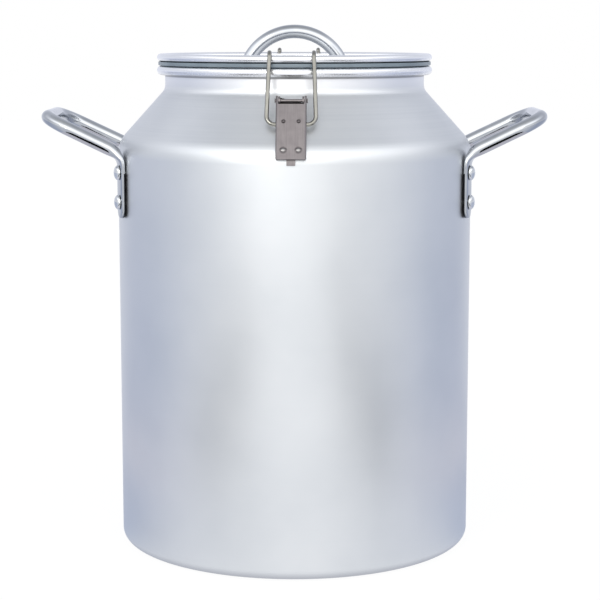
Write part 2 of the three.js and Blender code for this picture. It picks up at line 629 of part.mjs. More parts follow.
// Lever: a folded channel with two eyes on the hinge pin and a lobe on each flange for the bail.
const leverDown = new THREE.Vector2(Math.sin(leverLean), -Math.cos(leverLean));
const leverOut = new THREE.Vector2(Math.cos(leverLean), Math.sin(leverLean));
function latchLever() {
  const toBail = bailPivot.clone().sub(hinge);
  const bail = new THREE.Vector2(toBail.dot(leverDown), toBail.dot(leverOut));
  const edge = leverEar - leverEdge;
  const side = [];
  for (let step = 0; step <= 8; step += 1) {
    const angle = Math.PI * (0.5 + step / 8);
    side.push(new THREE.Vector2(leverEar * Math.cos(angle), leverEar * Math.sin(angle)));
  }
  for (let step = 0; step <= 4; step += 1) {
    const angle = Math.PI * (-0.5 + (step / 4) * 0.38);
    const lobe = new THREE.Vector2(leverLobe * Math.cos(angle), leverLobe * Math.sin(angle));
    side.push(lobe.add(bail));
  }
  side.push(new THREE.Vector2(leverTaperEnd, edge));
  side.push(new THREE.Vector2(leverLength, edge));
  side.push(new THREE.Vector2(leverLength, leverEar));
  const blank = sidePlate(side, leverWidth, hinge, leverDown, leverOut);
  const half = leverWidth / 2;
  const legs = -12;
  const channel = roundedOutline([
    [-half, legs],
    [-half, leverEar, 1.9],
    [half, leverEar, 1.9],
    [half, legs],
    [half - leverSheet, legs],
    [half - leverSheet, leverEar - leverSheet, 0.3],
    [-half + leverSheet, leverEar - leverSheet, 0.3],
    [-half + leverSheet, legs],
  ], true);
  const alongLever = new THREE.Matrix4().makeBasis(
    new THREE.Vector3(1, 0, 0), latchPoint(0, leverOut), latchPoint(0, leverDown).multiplyScalar(-1),
  ).setPosition(latchPoint(0, hinge));
  const folded = blank.intersect(plate(channel, 4 * leverLength, alongLever));
  const outside = leverLength * 2;
  const front = roundedOutline([
    [-half, -outside], [half, -outside], [half, leverLength, 1.5], [-half, leverLength, 1.5],
  ], true);
  let solid = folded.intersect(frontPlate(front, outside, hinge, leverDown, leverOut));
  const slotHalf = half - leverSheet;
  const slot = [[-slotHalf, -outside], [slotHalf, -outside], [slotHalf, leverSlot], [-slotHalf, leverSlot]]
    .map(([x, y]) => new THREE.Vector2(x, y));
  solid = solid.subtract(frontPlate(slot, outside, hinge, leverDown, leverOut));
  const onPlate = (x, down, out) => latchPoint(x, hinge.clone()
    .addScaledVector(leverDown, down).addScaledVector(leverOut, leverEar + out));
  const ballOf = (width, height) => (width * width + height * height) / (2 * height); // round cap's ball
  const { dimple, dimpleDepth, dimpleDown, pipRise, spread } = leverMarks;
  const dimpleRadius = ballOf(dimple, dimpleDepth);
  const pipRadius = ballOf(leverPip.along, leverPip.height);
  const outerSide = frontPlate(front, leverSheet + 6, hinge.clone().addScaledVector(leverOut,
    leverEar - leverSheet + leverSheet / 2 + 3), leverDown, leverOut);
  [-spread, spread].forEach((x) => {
    const dent = new THREE.SphereGeometry(dimpleRadius, 8, 4)
      .translate(...onPlate(x, dimpleDown, dimpleRadius - dimpleDepth));
    const pip = new THREE.SphereGeometry(pipRadius, 10, 5)
      .scale(leverPip.across / leverPip.along, 1, 1)
      .translate(...onPlate(x, leverLength - pipRise, leverPip.height - pipRadius));
    solid = solid.subtract(toSolid(dent)).add(toSolid(pip).intersect(outerSide));
  });
  solid = solid.subtract(rod(latchPoint(-leverWidth, hinge), latchPoint(leverWidth, hinge),
    pinRadius + pinClearance));
  return solid.subtract(rod(latchPoint(-leverWidth, bailPivot), latchPoint(leverWidth, bailPivot),
    wireRadius + seat));
}

// Bail: one wire whose closed end turns in the lever, with both free ends hooked over the lid's rim.
function latchBail() {
  const halfTop = wireSpreadTop / 2;
  const halfBottom = wireSpreadBottom / 2;
  const rimRound = lidRimHeight / 2;
  const rimAcross = Math.sqrt((lidRimRadius - rimRound) ** 2 - halfTop ** 2);
  const rimCentre = new THREE.Vector2(rimAcross, lidTop - rimRound);
  const hookRadius = rimRound + hookClearance + wireRadius;
  const toPivot = bailPivot.clone().sub(rimCentre);
  const leave = toPivot.angle() - 2 * Math.PI + Math.acos(hookRadius / toPivot.length());
  const tip = Math.PI / 2 + hookWrap;
  const hookSteps = 6;
  const half = [];
  for (let step = 0; step <= hookSteps; step += 1) {
    const angle = tip + ((leave - tip) * step) / hookSteps;
    const way = new THREE.Vector2(Math.cos(angle), Math.sin(angle));
    half.push([latchPoint(halfTop, rimCentre.clone().addScaledVector(way, hookRadius))]);
  }
  half.push([latchPoint(halfBottom, bailPivot), wireBend]);
  const other = [...half].reverse().map(([point, bend]) => {
    const mirrored = new THREE.Vector3(-point.x, point.y, point.z);
    return [mirrored, bend];
  });
  const path = bentPath([...half, ...other]);
  const ways = headings(path);
  const wireDirection = latchPoint(0, bailPivot.clone().sub(rimCentre)).normalize();
  const planeNormal = new THREE.Vector3(1, 0, 0).cross(wireDirection).normalize();
  const rings = path.map((point, index) => {
    const nearHook = point.z > lidRimBottom - 6;
    const reference = nearHook ? new THREE.Vector3(Math.sign(point.x), 0, 0) : planeNormal;
    const side = nearHook ? reference.clone().cross(ways[index]) : reference.clone();
    const through = side.addScaledVector(ways[index], -side.dot(ways[index])).normalize();
    const across = through.clone().cross(ways[index]).normalize();
    return { point, across, through, halfWidth: wireRadius, halfThickness: wireRadius };
  });
  return loft(rings, 10);
}

function hingePin() {
  const half = leverWidth / 2 + seat;
  const oneEnd = [
    [pinRadius, half], [pinHead, half], [pinHead, half + pinHeadThickness / 2],
    [pinHead * 0.8, half + pinHeadThickness], [0, half + pinHeadThickness],
  ];
  const otherEnd = [...oneEnd].reverse().map(([radius, across]) => [radius, -across]);
  const outline = [...otherEnd, ...oneEnd].map(([x, y]) => new THREE.Vector2(x, y));
  const pin = new THREE.LatheGeometry(outline, 12).rotateZ(Math.PI / 2);
  return toSolid(pin.translate(...latchPoint(0, hinge)));
}

// ---------- assembly ----------
const canner = new THREE.Group();
canner.name = 'steam_canner';

function addMesh(parent, name, solid, material) {
  const mesh = new THREE.Mesh(toGeometry(solid), material);
  mesh.name = name;
  parent.add(mesh);
}

addMesh(canner, 'can_body', canBody(), aluminium);
addMesh(canner, 'left_handle', sideHandle('left'), chromed);
addMesh(canner, 'right_handle', sideHandle('right'), chromed);
sideRivets.forEach(({ name, point, outwards }) => {
  canner.add(rivetMesh(name, handleRivet, sideGrip, point, outwards));
});

addMesh(canner, 'lid', lidShell(), aluminium);
addMesh(canner, 'lid_gasket', gasketRing(), rubber);
addMesh(canner, 'lid_handle', lidHandle(), chromed);
lidRivets.forEach(({ name, point }) => {
  canner.add(rivetMesh(name, handleRivet, lidGrip, point, new THREE.Vector3(0, 0, 1)));
});

Object.keys(latchTurns).forEach((side) => {
  const latch = new THREE.Group();
  latch.rotation.z = turnAbout(side);
  addMesh(latch, `${side}_latch_base`, latchBase(), latchSteel);
  addMesh(latch, `${side}_latch_lever`, latchLever(), latchSteel);
  addMesh(latch, `${side}_latch_bail`, latchBail(), wireSteel);
  addMesh(latch, `${side}_latch_hinge_pin`, hingePin(), latchSteel);
  latchRivetPoints.forEach((point, index) => {
    const name = `${side}_latch_rivet_${index === 0 ? 'upper' : 'lower'}`;
    latch.add(rivetMesh(name, latchRivet, latchGrip, point, latchOut));
  });
  canner.add(latch);
});

export default canner;
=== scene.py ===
# The looks of a clamp-lid steam canner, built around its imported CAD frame. Objects are in metres, in the
# frame of the CAD, and the shapes below are written in millimetres, as such pieces are drawn and made.
import json
import math

import bmesh
import bpy
from mathutils import Matrix, Vector


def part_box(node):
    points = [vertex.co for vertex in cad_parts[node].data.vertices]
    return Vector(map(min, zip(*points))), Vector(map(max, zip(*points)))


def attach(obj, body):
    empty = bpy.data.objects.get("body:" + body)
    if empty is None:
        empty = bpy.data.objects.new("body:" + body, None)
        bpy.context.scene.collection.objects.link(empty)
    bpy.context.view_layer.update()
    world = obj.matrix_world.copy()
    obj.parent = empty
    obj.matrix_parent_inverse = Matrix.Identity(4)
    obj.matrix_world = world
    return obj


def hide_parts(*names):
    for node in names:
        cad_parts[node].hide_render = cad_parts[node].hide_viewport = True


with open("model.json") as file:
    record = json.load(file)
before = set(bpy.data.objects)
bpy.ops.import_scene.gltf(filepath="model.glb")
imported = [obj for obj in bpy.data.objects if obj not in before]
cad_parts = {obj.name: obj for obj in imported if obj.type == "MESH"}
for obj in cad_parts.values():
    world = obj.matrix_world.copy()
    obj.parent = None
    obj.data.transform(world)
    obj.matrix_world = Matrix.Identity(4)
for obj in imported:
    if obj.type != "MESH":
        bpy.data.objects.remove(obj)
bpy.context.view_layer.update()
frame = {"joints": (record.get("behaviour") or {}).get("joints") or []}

# Camera. A long lens on a tripod, level with the lid's handle and tipped slightly down, so the upright sides
# lean in very little and the floor of the lid stays hidden behind its rim.
CAMERA_PLACE = (0.00385, -1.28, 0.3634)
CAMERA_TIP = 0.149
CAMERA_LENS = 107.77
FILM_WIDTH = 36


def in_scene(name, data):
    """Puts a new object with this data in the scene."""
    added = bpy.data.objects.new(name, data)
    bpy.context.scene.collection.objects.link(added)
    return added


camera = in_scene("camera", bpy.data.cameras.new("camera"))
camera.location = CAMERA_PLACE
camera.rotation_euler = (math.pi / 2 - CAMERA_TIP, 0, 0)
camera.data.lens = CAMERA_LENS
camera.data.sensor_width = FILM_WIDTH
camera.data.clip_start = 0.01
bpy.context.scene.camera = camera
bpy.context.scene.view_settings.view_transform = "Standard"


# Studio. A white floor and surround, as the camera sees them. Metal sees blue-grey walls and floor, paler
# in front, a row of high windows, and two soft boxes ahead that brighten plating and the can's upper half.
def linear(code):
    """An sRGB hex colour as linear red, green, blue and alpha."""
    shares = [int(code[start:start + 2], 16) / 255 for start in (0, 2, 4)]
    return [s / 12.92 if s <= 0.04045 else ((s + 0.055) / 1.055) ** 2.4 for s in shares] + [1]


def add_node(tree, kind, inputs=None, stops=None, **settings):
    """Adds a node. Inputs are values or the sockets that feed them, and a ramp has (place, hex) stops."""
    node = tree.nodes.new(kind)
    for key, value in settings.items():
        setattr(node, key, value)
    for key, value in (inputs or {}).items():
        if isinstance(value, bpy.types.NodeSocket):
            tree.links.new(value, node.inputs[key])
        else:
            node.inputs[key].default_value = value
    for index, (place, code) in enumerate(stops or []):
        elements = node.color_ramp.elements
        element = elements[index] if index < 2 else elements.new(place)
        element.position = place
        element.color = linear(code)
    return node


def new_tree(data):
    data.use_nodes = True
    data.node_tree.nodes.clear()
    return data.node_tree


def seen_towards(tree, place, stops):
    """A colour for every direction round the can, from straight behind it (0) to straight in front (1)."""
    parts = add_node(tree, "ShaderNodeSeparateXYZ", {0: place})
    share = add_node(tree, "ShaderNodeMapRange", {
        "Value": parts.outputs["Y"], "From Min": 1.0, "From Max": -1.0})
    return add_node(tree, "ShaderNodeValToRGB", {0: share.outputs[0]}, stops=stops).outputs[0]


ROOM_STRENGTH = 1.25
WINDOW_SHARE = 0.66
world = bpy.data.worlds.new("studio")
bpy.context.scene.world = world
tree = new_tree(world)
rays = add_node(tree, "ShaderNodeLightPath")
toward = add_node(tree, "ShaderNodeTexCoord").outputs["Generated"]
walls = seen_towards(tree, toward, [
    (0.0, "D6D9E4"), (1.0, "FFFFFF"),
    (0.06, "CFD3DE"), (0.45, "CBCFD8"), (0.62, "D8DBE1"), (0.8, "F3F5F7")])
parts = add_node(tree, "ShaderNodeSeparateXYZ", {0: toward})
ceiling = add_node(
    tree, "ShaderNodeValToRGB", {0: parts.outputs["Z"]},
    stops=[(0.0, "FFFFFF"), (1.0, "D6D6D4"), (0.35, "F2F2F2"), (0.8, "EAEAEA")])
room = add_node(tree, "ShaderNodeMix", {
    0: 1.0, 6: walls, 7: ceiling.outputs[0]}, data_type="RGBA", blend_type="MULTIPLY")
# A row of windows high up round the front half of the room lights the bend of the can's shoulder.
tall = add_node(tree, "ShaderNodeValToRGB", {0: parts.outputs["Z"]}, stops=[
    (0.3, "000000"), (0.82, "000000"), (0.45, "FFFFFF"), (0.62, "FFFFFF")])
ahead = seen_towards(tree, toward, [(0.2, "000000"), (0.68, "FFFFFF")])
windows = add_node(tree, "ShaderNodeMix", {
    0: 1.0, 6: tall.outputs[0], 7: ahead}, data_type="RGBA", blend_type="MULTIPLY")
room = add_node(tree, "ShaderNodeMix", {
    0: WINDOW_SHARE, 6: room.outputs[2], 7: windows.outputs[2]}, data_type="RGBA", blend_type="ADD")
seen = add_node(tree, "ShaderNodeBackground", {"Color": (1, 1, 1, 1), "Strength": 1.0})
lit = add_node(tree, "ShaderNodeBackground", {"Color": room.outputs[2], "Strength": ROOM_STRENGTH})
either = add_node(tree, "ShaderNodeMixShader", {
    0: rays.outputs["Is Camera Ray"], 1: lit.outputs[0], 2: seen.outputs[0]})
add_node(tree, "ShaderNodeOutputWorld", {0: either.outputs[0]})


def soft_box(name, place, target, size, power, code):
    """A soft box that points at a target and isn't seen by the camera itself."""
    data = bpy.data.lights.new(name, "AREA")
    data.shape = "RECTANGLE"
    data.size, data.size_y = size
    data.energy = power
    data.color = linear(code)[:3]
    lamp = in_scene(name, data)
    lamp.location = place
    lamp.rotation_euler = (Vector(target) - Vector(place)).to_track_quat("-Z", "Y").to_euler()
    lamp.visible_camera = False


MIDDLE = (0, 0, 0.2)
soft_box("front_box", (-0.32, -1.88, 0.85), MIDDLE, (2.4, 0.9), 4.2, "FFFFF8")
soft_box("key_box", (-0.5, -1.5, 0.9), MIDDLE, (0.2, 0.6), 2.6, "FFFFFC")


def flat_sheet(name, x, y):
    """A level rectangle that reaches x and y to each side of its middle."""
    mesh = bpy.data.meshes.new(name)
    mesh.from_pydata([(-x, -y, 0), (x, -y, 0), (x, y, 0), (-x, y, 0)], [], [(0, 1, 2, 3)])
    return mesh


FLOOR_HALF = 6.0
FLOOR_DROP = 0.0004
# The camera sees the floor nearly white, with a faint trace of the can's shadow. Metal sees a tinted sweep.
BACKDROP_SHARE = 0.93
BACKDROP_STRENGTH = 1.02
SWEEP_STRENGTH = 1.05
floor_mesh = flat_sheet("floor", FLOOR_HALF, FLOOR_HALF)
floor = in_scene("floor", floor_mesh)
floor.location.z = -FLOOR_DROP
paper = bpy.data.materials.new("white_floor_paper")
tree = new_tree(paper)
rays = add_node(tree, "ShaderNodeLightPath")
matt = add_node(tree, "ShaderNodeBsdfDiffuse", {"Color": linear("F4F4F4")})
bright = add_node(tree, "ShaderNodeEmission", {"Color": (1, 1, 1, 1), "Strength": BACKDROP_STRENGTH})
place = add_node(tree, "ShaderNodeTexCoord").outputs["Object"]
outwards = add_node(tree, "ShaderNodeVectorMath", {0: place}, operation="NORMALIZE").outputs[0]
sweep = seen_towards(
    tree, outwards,
    [(0.0, "F8FAFF"), (1.0, "F0F2F6"), (0.2, "BCC3D7"), (0.5, "BCC5DA"), (0.75, "DCE0EA")])
mirrored = add_node(tree, "ShaderNodeEmission", {"Color": sweep, "Strength": SWEEP_STRENGTH})
glossy = add_node(tree, "ShaderNodeMath", {
    0: rays.outputs["Is Glossy Ray"], 1: rays.outputs["Is Transmission Ray"]}, operation="MAXIMUM")
seen_share = add_node(tree, "ShaderNodeMath", {
    0: rays.outputs["Is Camera Ray"], 1: BACKDROP_SHARE}, operation="MULTIPLY")
straight = add_node(tree, "ShaderNodeMixShader", {
    0: seen_share.outputs[0], 1: matt.outputs[0], 2: bright.outputs[0]})
surface = add_node(tree, "ShaderNodeMixShader", {
    0: glossy.outputs[0], 1: straight.outputs[0], 2: mirrored.outputs[0]})
add_node(tree, "ShaderNodeOutputMaterial", {0: surface.outputs[0]})
floor_mesh.materials.append(paper)


def card(name, place, size, tone, turn=0):
    """A card just above the floor, turned by degrees, that glows in its tone and shows only in gloss."""
    mesh = flat_sheet(name, size[0] / 2, size[1] / 2)
    finish = bpy.data.materials.new(name)
    tree = new_tree(finish)
    glow = add_node(tree, "ShaderNodeEmission", {"Color": linear(tone), "Strength": 1.0})
    add_node(tree, "ShaderNodeOutputMaterial", {0: glow.outputs[0]})
    mesh.materials.append(finish)
    placed = in_scene(name, mesh)
    placed.location = place
    placed.rotation_euler.z = math.radians(turn)
    placed.visible_camera = placed.visible_diffuse = placed.visible_shadow = False


# Dark cards ahead blacken the handles' plating and shade two soft bands down the can's wall. White cards at
# the sides brighten the side handles and the lower edges of the wall.
CARD_LEVEL = 0.002
for side, sign in (("left", -1), ("right", 1)):
    card(f"dark_card_{side}", (sign * 0.365, -0.6, CARD_LEVEL), (0.15, 0.76), "141618", sign * 4.8)
    card(f"white_card_{side}", (sign * 0.335, 0.02, CARD_LEVEL), (0.13, 0.42), "E2E0EA")


# Can. One deep blank of aluminium, spun over a former into a straight can with a conical shoulder and a
# neck, its mouth rolled outwards into a bead, then satin finished. The shoulder keeps fine rings of the
# spinning tool, the bead is burnished bright, and the wall has an even matt grain.
MM = 0.001
can_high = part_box("can_body")[1] / MM
BODY_RADIUS = can_high.x
CAN_TOP = can_high.z
WALL = 1.8
CORNER_LEVEL = 285.4
SHOULDER_ANGLE = math.radians(47.9)
SHOULDER_WIDTH = 33.7
SHOULDER_BLEND = 20.0
NECK_BLEND = 8.0
BASE_CORNER = 7.5
HEEL_SCUFF = 6.0
CAN_RIM_LIP = 5.6
CAN_RIM_HEIGHT = 6.4
NECK_RADIUS = BODY_RADIUS - SHOULDER_WIDTH
NECK_BORE = NECK_RADIUS - WALL
CAN_RIM_RADIUS = NECK_RADIUS + CAN_RIM_LIP
CAN_RIM_BOTTOM = CAN_TOP - CAN_RIM_HEIGHT
CONE_TOP = CORNER_LEVEL + SHOULDER_WIDTH * math.tan(SHOULDER_ANGLE)
BEAD_FLAT = 0.05
SATIN_TONES = ("D5D8DB", "E0E2E4", "E9EAEB")
RING_STEP = 2.381
RING_FADE = 200
CLOUD_WIDTH = 71.43
GRIT = 0.625


def rounded(corners, closed=False, step=math.radians(7)):
    """An outline through corners (x, y, radius), with an arc at each corner that has a radius."""
    points = []
    for index, corner in enumerate(corners):
        place = Vector(corner[:2])
        radius = corner[2] if len(corner) > 2 else 0
        if not radius or (not closed and index in (0, len(corners) - 1)):
            points.append(place)
            continue
        back = (Vector(corners[index - 1][:2]) - place).normalized()
        ahead = (Vector(corners[(index + 1) % len(corners)][:2]) - place).normalized()
        half_turn = back.angle(ahead) / 2
        centre = place + (back + ahead).normalized() * radius / math.sin(half_turn)
        start = place + back * radius / math.tan(half_turn) - centre
        turn = -math.copysign(math.pi - 2 * half_turn, back.cross(ahead))
        count = max(2, math.ceil(abs(turn) / step))
        for share in range(count + 1):
            points.append(centre + Matrix.Rotation(turn * share / count, 2) @ start)
    return points


def spun(outline, segments=192, matrix=None):
    """A mesh turned about Z from (radius, height) points in millimetres."""
    shape = bmesh.new()
    rings = []
    for radius, level in outline:
        around = 1 if radius < 1e-6 else segments
        angles = [2 * math.pi * side / segments for side in range(around)]
        rings.append([shape.verts.new((radius * math.cos(a), radius * math.sin(a), level)) for a in angles])
    for low, high in zip(rings, rings[1:]):
        for side in range(segments):
            after = (side + 1) % segments
            corners = [
                low[side % len(low)], low[after % len(low)],
                high[after % len(high)], high[side % len(high)]]
            kept = [c for place, c in enumerate(corners) if c not in corners[:place]]
            if len(kept) > 2:
                shape.faces.new(kept)
    return finished(shape, matrix)


def smoothed(mesh, sharp=35):
    """Smooth shading but for edges sharper than an angle in degrees."""
    mesh.shade_smooth()
    mesh.set_sharp_from_angle(angle=math.radians(sharp))
    return mesh


def finished(shape, matrix=None, sharp=35):
    """Turns mesh code in millimetres into a mesh in metres, smooth but for its sharp edges."""
    bmesh.ops.remove_doubles(shape, verts=shape.verts, dist=1e-5)
    bmesh.ops.recalc_face_normals(shape, faces=shape.faces)
    mesh = bpy.data.meshes.new("piece")
    shape.to_mesh(mesh)
    shape.free()
    mesh.transform(Matrix.Scale(MM, 4) @ (matrix or Matrix.Identity(4)))
    return smoothed(mesh, sharp)


def piece(name, mesh, finish, body, slot, *nodes):
    """Puts a finished mesh in the scene as a named piece that stands for its CAD nodes."""
    mesh.name = name
    mesh.materials.clear()
    mesh.materials.append(finish)
    placed = in_scene(name, mesh)
    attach(placed, body)
    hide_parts(*nodes)


def spun_aluminium(name, colours, roughness, ring_low, ring_high, ring_shift, bead_low):
    """Satin aluminium: metallic, with a soft sheen that smears what it mirrors into broad bands. The rings
    of the spinning tool lie between two levels, and the bead is burnished smoother."""
    finish = bpy.data.materials.new(name)
    tree = new_tree(finish)
    place = add_node(tree, "ShaderNodeTexCoord").outputs["Object"]
    parts = add_node(tree, "ShaderNodeSeparateXYZ", {0: place})
    flat = add_node(tree, "ShaderNodeVectorMath", {0: place, 1: (1, 1, 0)}, operation="MULTIPLY")
    radius = add_node(tree, "ShaderNodeVectorMath", {0: flat.outputs[0]}, operation="LENGTH")
    along = add_node(tree, "ShaderNodeMath", {
        0: parts.outputs["Z"], 1: radius.outputs["Value"]}, operation="SUBTRACT")
    # Rings that fade in and out round the can. They step by level less radius: 1.7 mm down the shoulder.
    fade = 1 / (RING_FADE * MM)
    drift = add_node(tree, "ShaderNodeVectorMath", {
        0: flat.outputs[0], 1: (fade, fade, 0)}, operation="MULTIPLY")
    step = add_node(tree, "ShaderNodeMath", {
        0: along.outputs[0], 1: 1 / (RING_STEP * MM)}, operation="MULTIPLY")
    lift = add_node(tree, "ShaderNodeCombineXYZ", {2: step.outputs[0]})
    ring_place = add_node(tree, "ShaderNodeVectorMath", {
        0: drift.outputs[0], 1: lift.outputs[0]}, operation="ADD")
    rings = add_node(tree, "ShaderNodeTexNoise", {
        "Vector": ring_place.outputs[0], "Scale": 1.0, "Detail": 3.0, "Roughness": 0.6})
    # The rings are strong only where the tool was pressed hardest, and nearly polished away elsewhere.
    rise = add_node(tree, "ShaderNodeMapRange", {
        "Value": parts.outputs["Z"], "From Min": ring_low - 0.004, "From Max": ring_low + 0.006})
    fall = add_node(tree, "ShaderNodeMapRange", {
        "Value": parts.outputs["Z"], "From Min": ring_high - 0.003, "From Max": ring_high + 0.003,
        "To Min": 1.0, "To Max": 0.0})
    marked = add_node(tree, "ShaderNodeMath", {
        0: rise.outputs[0], 1: fall.outputs[0]}, operation="MULTIPLY")
    strength = add_node(tree, "ShaderNodeMapRange", {
        "Value": marked.outputs[0], "To Min": 0.12, "To Max": 1.0})
    centred = add_node(tree, "ShaderNodeMath", {0: rings.outputs[0], 1: 0.5}, operation="SUBTRACT")
    ring = add_node(tree, "ShaderNodeMath", {
        0: centred.outputs[0], 1: strength.outputs[0]}, operation="MULTIPLY")
    # Broad, faint clouding of the satin finish, tens of millimetres wide.
    cloud = add_node(tree, "ShaderNodeTexNoise", {
        "Vector": place, "Scale": 1 / (CLOUD_WIDTH * MM), "Detail": 3.0})
    tone = add_node(tree, "ShaderNodeMath", {
        0: ring.outputs[0], 1: ring_shift, 2: cloud.outputs[0]}, operation="MULTIPLY_ADD")
    colour = add_node(
        tree, "ShaderNodeValToRGB", {0: tone.outputs[0]},
        stops=[(0.0, colours[0]), (1.0, colours[2]), (0.5, colours[1])])
    # Grain of the satin finish: real grit is near 0.1 mm, drawn here at 0.6 mm so that it shows at all.
    grain = add_node(tree, "ShaderNodeTexNoise", {"Vector": place, "Scale": 1 / (GRIT * MM), "Detail": 1.0})
    uneven = add_node(tree, "ShaderNodeMath", {0: cloud.outputs[0], 1: grain.outputs[0]}, operation="ADD")
    matt = add_node(tree, "ShaderNodeMapRange", {
        "Value": uneven.outputs[0], "From Min": 0.6, "From Max": 1.4,
        "To Min": roughness - 0.035, "To Max": roughness + 0.035})
    burnished = add_node(tree, "ShaderNodeMapRange", {
        "Value": parts.outputs["Z"], "From Min": bead_low - 0.0006, "From Max": bead_low + 0.0006,
        "To Min": 0.0, "To Max": 0.13})
    rough = add_node(tree, "ShaderNodeMath", {
        0: matt.outputs[0], 1: burnished.outputs[0]}, operation="SUBTRACT")
    relief = add_node(tree, "ShaderNodeMath", {
        0: grain.outputs[0], 1: 0.1, 2: ring.outputs[0]}, operation="MULTIPLY_ADD")
    bump = add_node(tree, "ShaderNodeBump", {
        "Height": relief.outputs[0], "Strength": 0.35, "Distance": 0.00012})
    # The neck turns whiter towards the burnished bead, and the crease between them is painted dark as
    # painted shade.
    polished = add_node(tree, "ShaderNodeMapRange", {
        "Value": parts.outputs["Z"], "From Min": bead_low - 0.0125, "From Max": bead_low - 0.003})
    whiter = add_node(tree, "ShaderNodeMix", {
        0: polished.outputs[0], 6: colour.outputs[0], 7: linear("F8F8FA")}, data_type="RGBA")
    off_crease = add_node(tree, "ShaderNodeMath", {
        0: parts.outputs["Z"], 1: bead_low - 0.0002}, operation="SUBTRACT")
    near_crease = add_node(tree, "ShaderNodeMath", {0: off_crease.outputs[0]}, operation="ABSOLUTE")
    painted_crease_shade = add_node(tree, "ShaderNodeMapRange", {
        "Value": near_crease.outputs[0], "From Min": 0.0005, "From Max": 0.0012,
        "To Min": 0.55, "To Max": 0.0})
    with_crease_shade = add_node(tree, "ShaderNodeMix", {
        0: painted_crease_shade.outputs[0], 6: whiter.outputs[2], 7: linear("504E4C")}, data_type="RGBA")
    # The heel of the can is scuffed by burners and tables, and greyer towards its very edge.
    scuffed = add_node(tree, "ShaderNodeMapRange", {
        "Value": parts.outputs["Z"], "From Min": HEEL_SCUFF * MM, "From Max": 0.0})
    worn = add_node(tree, "ShaderNodeMix", {
        0: scuffed.outputs[0], 6: with_crease_shade.outputs[2], 7: linear("ABADB5")}, data_type="RGBA")
    shader = add_node(tree, "ShaderNodeBsdfPrincipled", {
        "Base Color": worn.outputs[2], "Metallic": 1.0, "Roughness": rough.outputs[0],
        "Normal": bump.outputs[0]})
    add_node(tree, "ShaderNodeOutputMaterial", {0: shader.outputs[0]})
    return finish


can_aluminium = spun_aluminium(
    "spun_aluminium_can", SATIN_TONES, roughness=0.40, ring_low=CORNER_LEVEL * MM, ring_high=CONE_TOP * MM,
    ring_shift=0.55, bead_low=CAN_RIM_BOTTOM * MM)
inset = WALL * math.tan((math.pi / 2 - SHOULDER_ANGLE) / 2)
bead = (CAN_TOP - CAN_RIM_BOTTOM) / 2
can_outline = rounded([
    (0, 0),
    (BODY_RADIUS, 0, BASE_CORNER),
    (BODY_RADIUS, CORNER_LEVEL, SHOULDER_BLEND),
    (NECK_RADIUS, CONE_TOP, NECK_BLEND),
    (NECK_RADIUS, CAN_RIM_BOTTOM, 0.8),
    (CAN_RIM_RADIUS, CAN_RIM_BOTTOM, bead - BEAD_FLAT),
    (CAN_RIM_RADIUS, CAN_TOP, bead - BEAD_FLAT),
    (NECK_BORE, CAN_TOP, 2.4),
    (NECK_BORE, CONE_TOP - inset, NECK_BLEND + WALL),
    (BODY_RADIUS - WALL, CORNER_LEVEL - inset, SHOULDER_BLEND - WALL),
    (BODY_RADIUS - WALL, WALL, BASE_CORNER - WALL),
    (0, WALL),
])
piece("can_shell", spun(can_outline, 256), can_aluminium, "can", "can_aluminium", "can_body")


# Lid. A disc of the same aluminium pressed into a flat dish that plugs the neck, with a small steam hole
# and its edge rolled into a bead that sits on the gasket. Same satin finish, with rings round the middle.
LID_WALL = 1.6
lid_low, lid_high = (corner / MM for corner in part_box("lid"))
LID_TOP = lid_high.z
LID_RIM_RADIUS = lid_high.x
LID_RIM_HEIGHT = 5.2
LEDGE_DROP = 3.4
PLUG_CLEARANCE = 1.0
PLUG_CORNER = 5
LID_RIM_BOTTOM = LID_TOP - LID_RIM_HEIGHT
LID_FLOOR = lid_low.z + LID_WALL
PLUG_RADIUS = NECK_BORE - PLUG_CLEARANCE
LID_BEAD = LID_RIM_HEIGHT / 2 - BEAD_FLAT
VENT_RADIUS = 4.5
VENT_OFFSET = 46

lid_outline = rounded([
    (0, LID_FLOOR - LID_WALL),
    (PLUG_RADIUS, LID_FLOOR - LID_WALL, PLUG_CORNER),
    (PLUG_RADIUS, LID_RIM_BOTTOM, 0.6),
    (LID_RIM_RADIUS, LID_RIM_BOTTOM, LID_BEAD),
    (LID_RIM_RADIUS, LID_TOP, LID_BEAD),
    (LID_RIM_RADIUS - LID_RIM_HEIGHT, LID_TOP, LID_BEAD),
    (LID_RIM_RADIUS - LID_RIM_HEIGHT, LID_TOP - LEDGE_DROP, 0.6),
    (PLUG_RADIUS - LID_WALL, LID_TOP - LEDGE_DROP, 1.4),
    (PLUG_RADIUS - LID_WALL, LID_FLOOR, PLUG_CORNER - LID_WALL),
    (0, LID_FLOOR),
])


def applied(holder):
    """The mesh of an object with its modifiers applied, without the object."""
    result = bpy.data.meshes.new_from_object(holder.evaluated_get(bpy.context.evaluated_depsgraph_get()))
    bpy.data.objects.remove(holder)
    return result


def cut(mesh, tool, mode="DIFFERENCE"):
    """The mesh after a boolean with a tool mesh, both already in metres."""
    body = in_scene("body", mesh)
    other = in_scene("tool", tool)
    step = body.modifiers.new("cut", "BOOLEAN")
    step.operation = mode
    step.solver = "EXACT"
    step.object = other
    result = applied(body)
    bpy.data.objects.remove(other)
    return result


lid_aluminium = spun_aluminium(
    "spun_aluminium_lid", SATIN_TONES, roughness=0.36, ring_low=(LID_FLOOR - 6) * MM,
    ring_high=(LID_TOP - 5) * MM, ring_shift=0.5, bead_low=LID_RIM_BOTTOM * MM)
vent_reach = 6
vent = spun(
    [(0, -vent_reach), (VENT_RADIUS, -vent_reach), (VENT_RADIUS, vent_reach), (0, vent_reach)], 48,
    Matrix.Translation((0, VENT_OFFSET, LID_FLOOR)))
piece("lid_dish", smoothed(cut(spun(lid_outline, 256), vent)), lid_aluminium, "lid", "lid_aluminium", "lid")


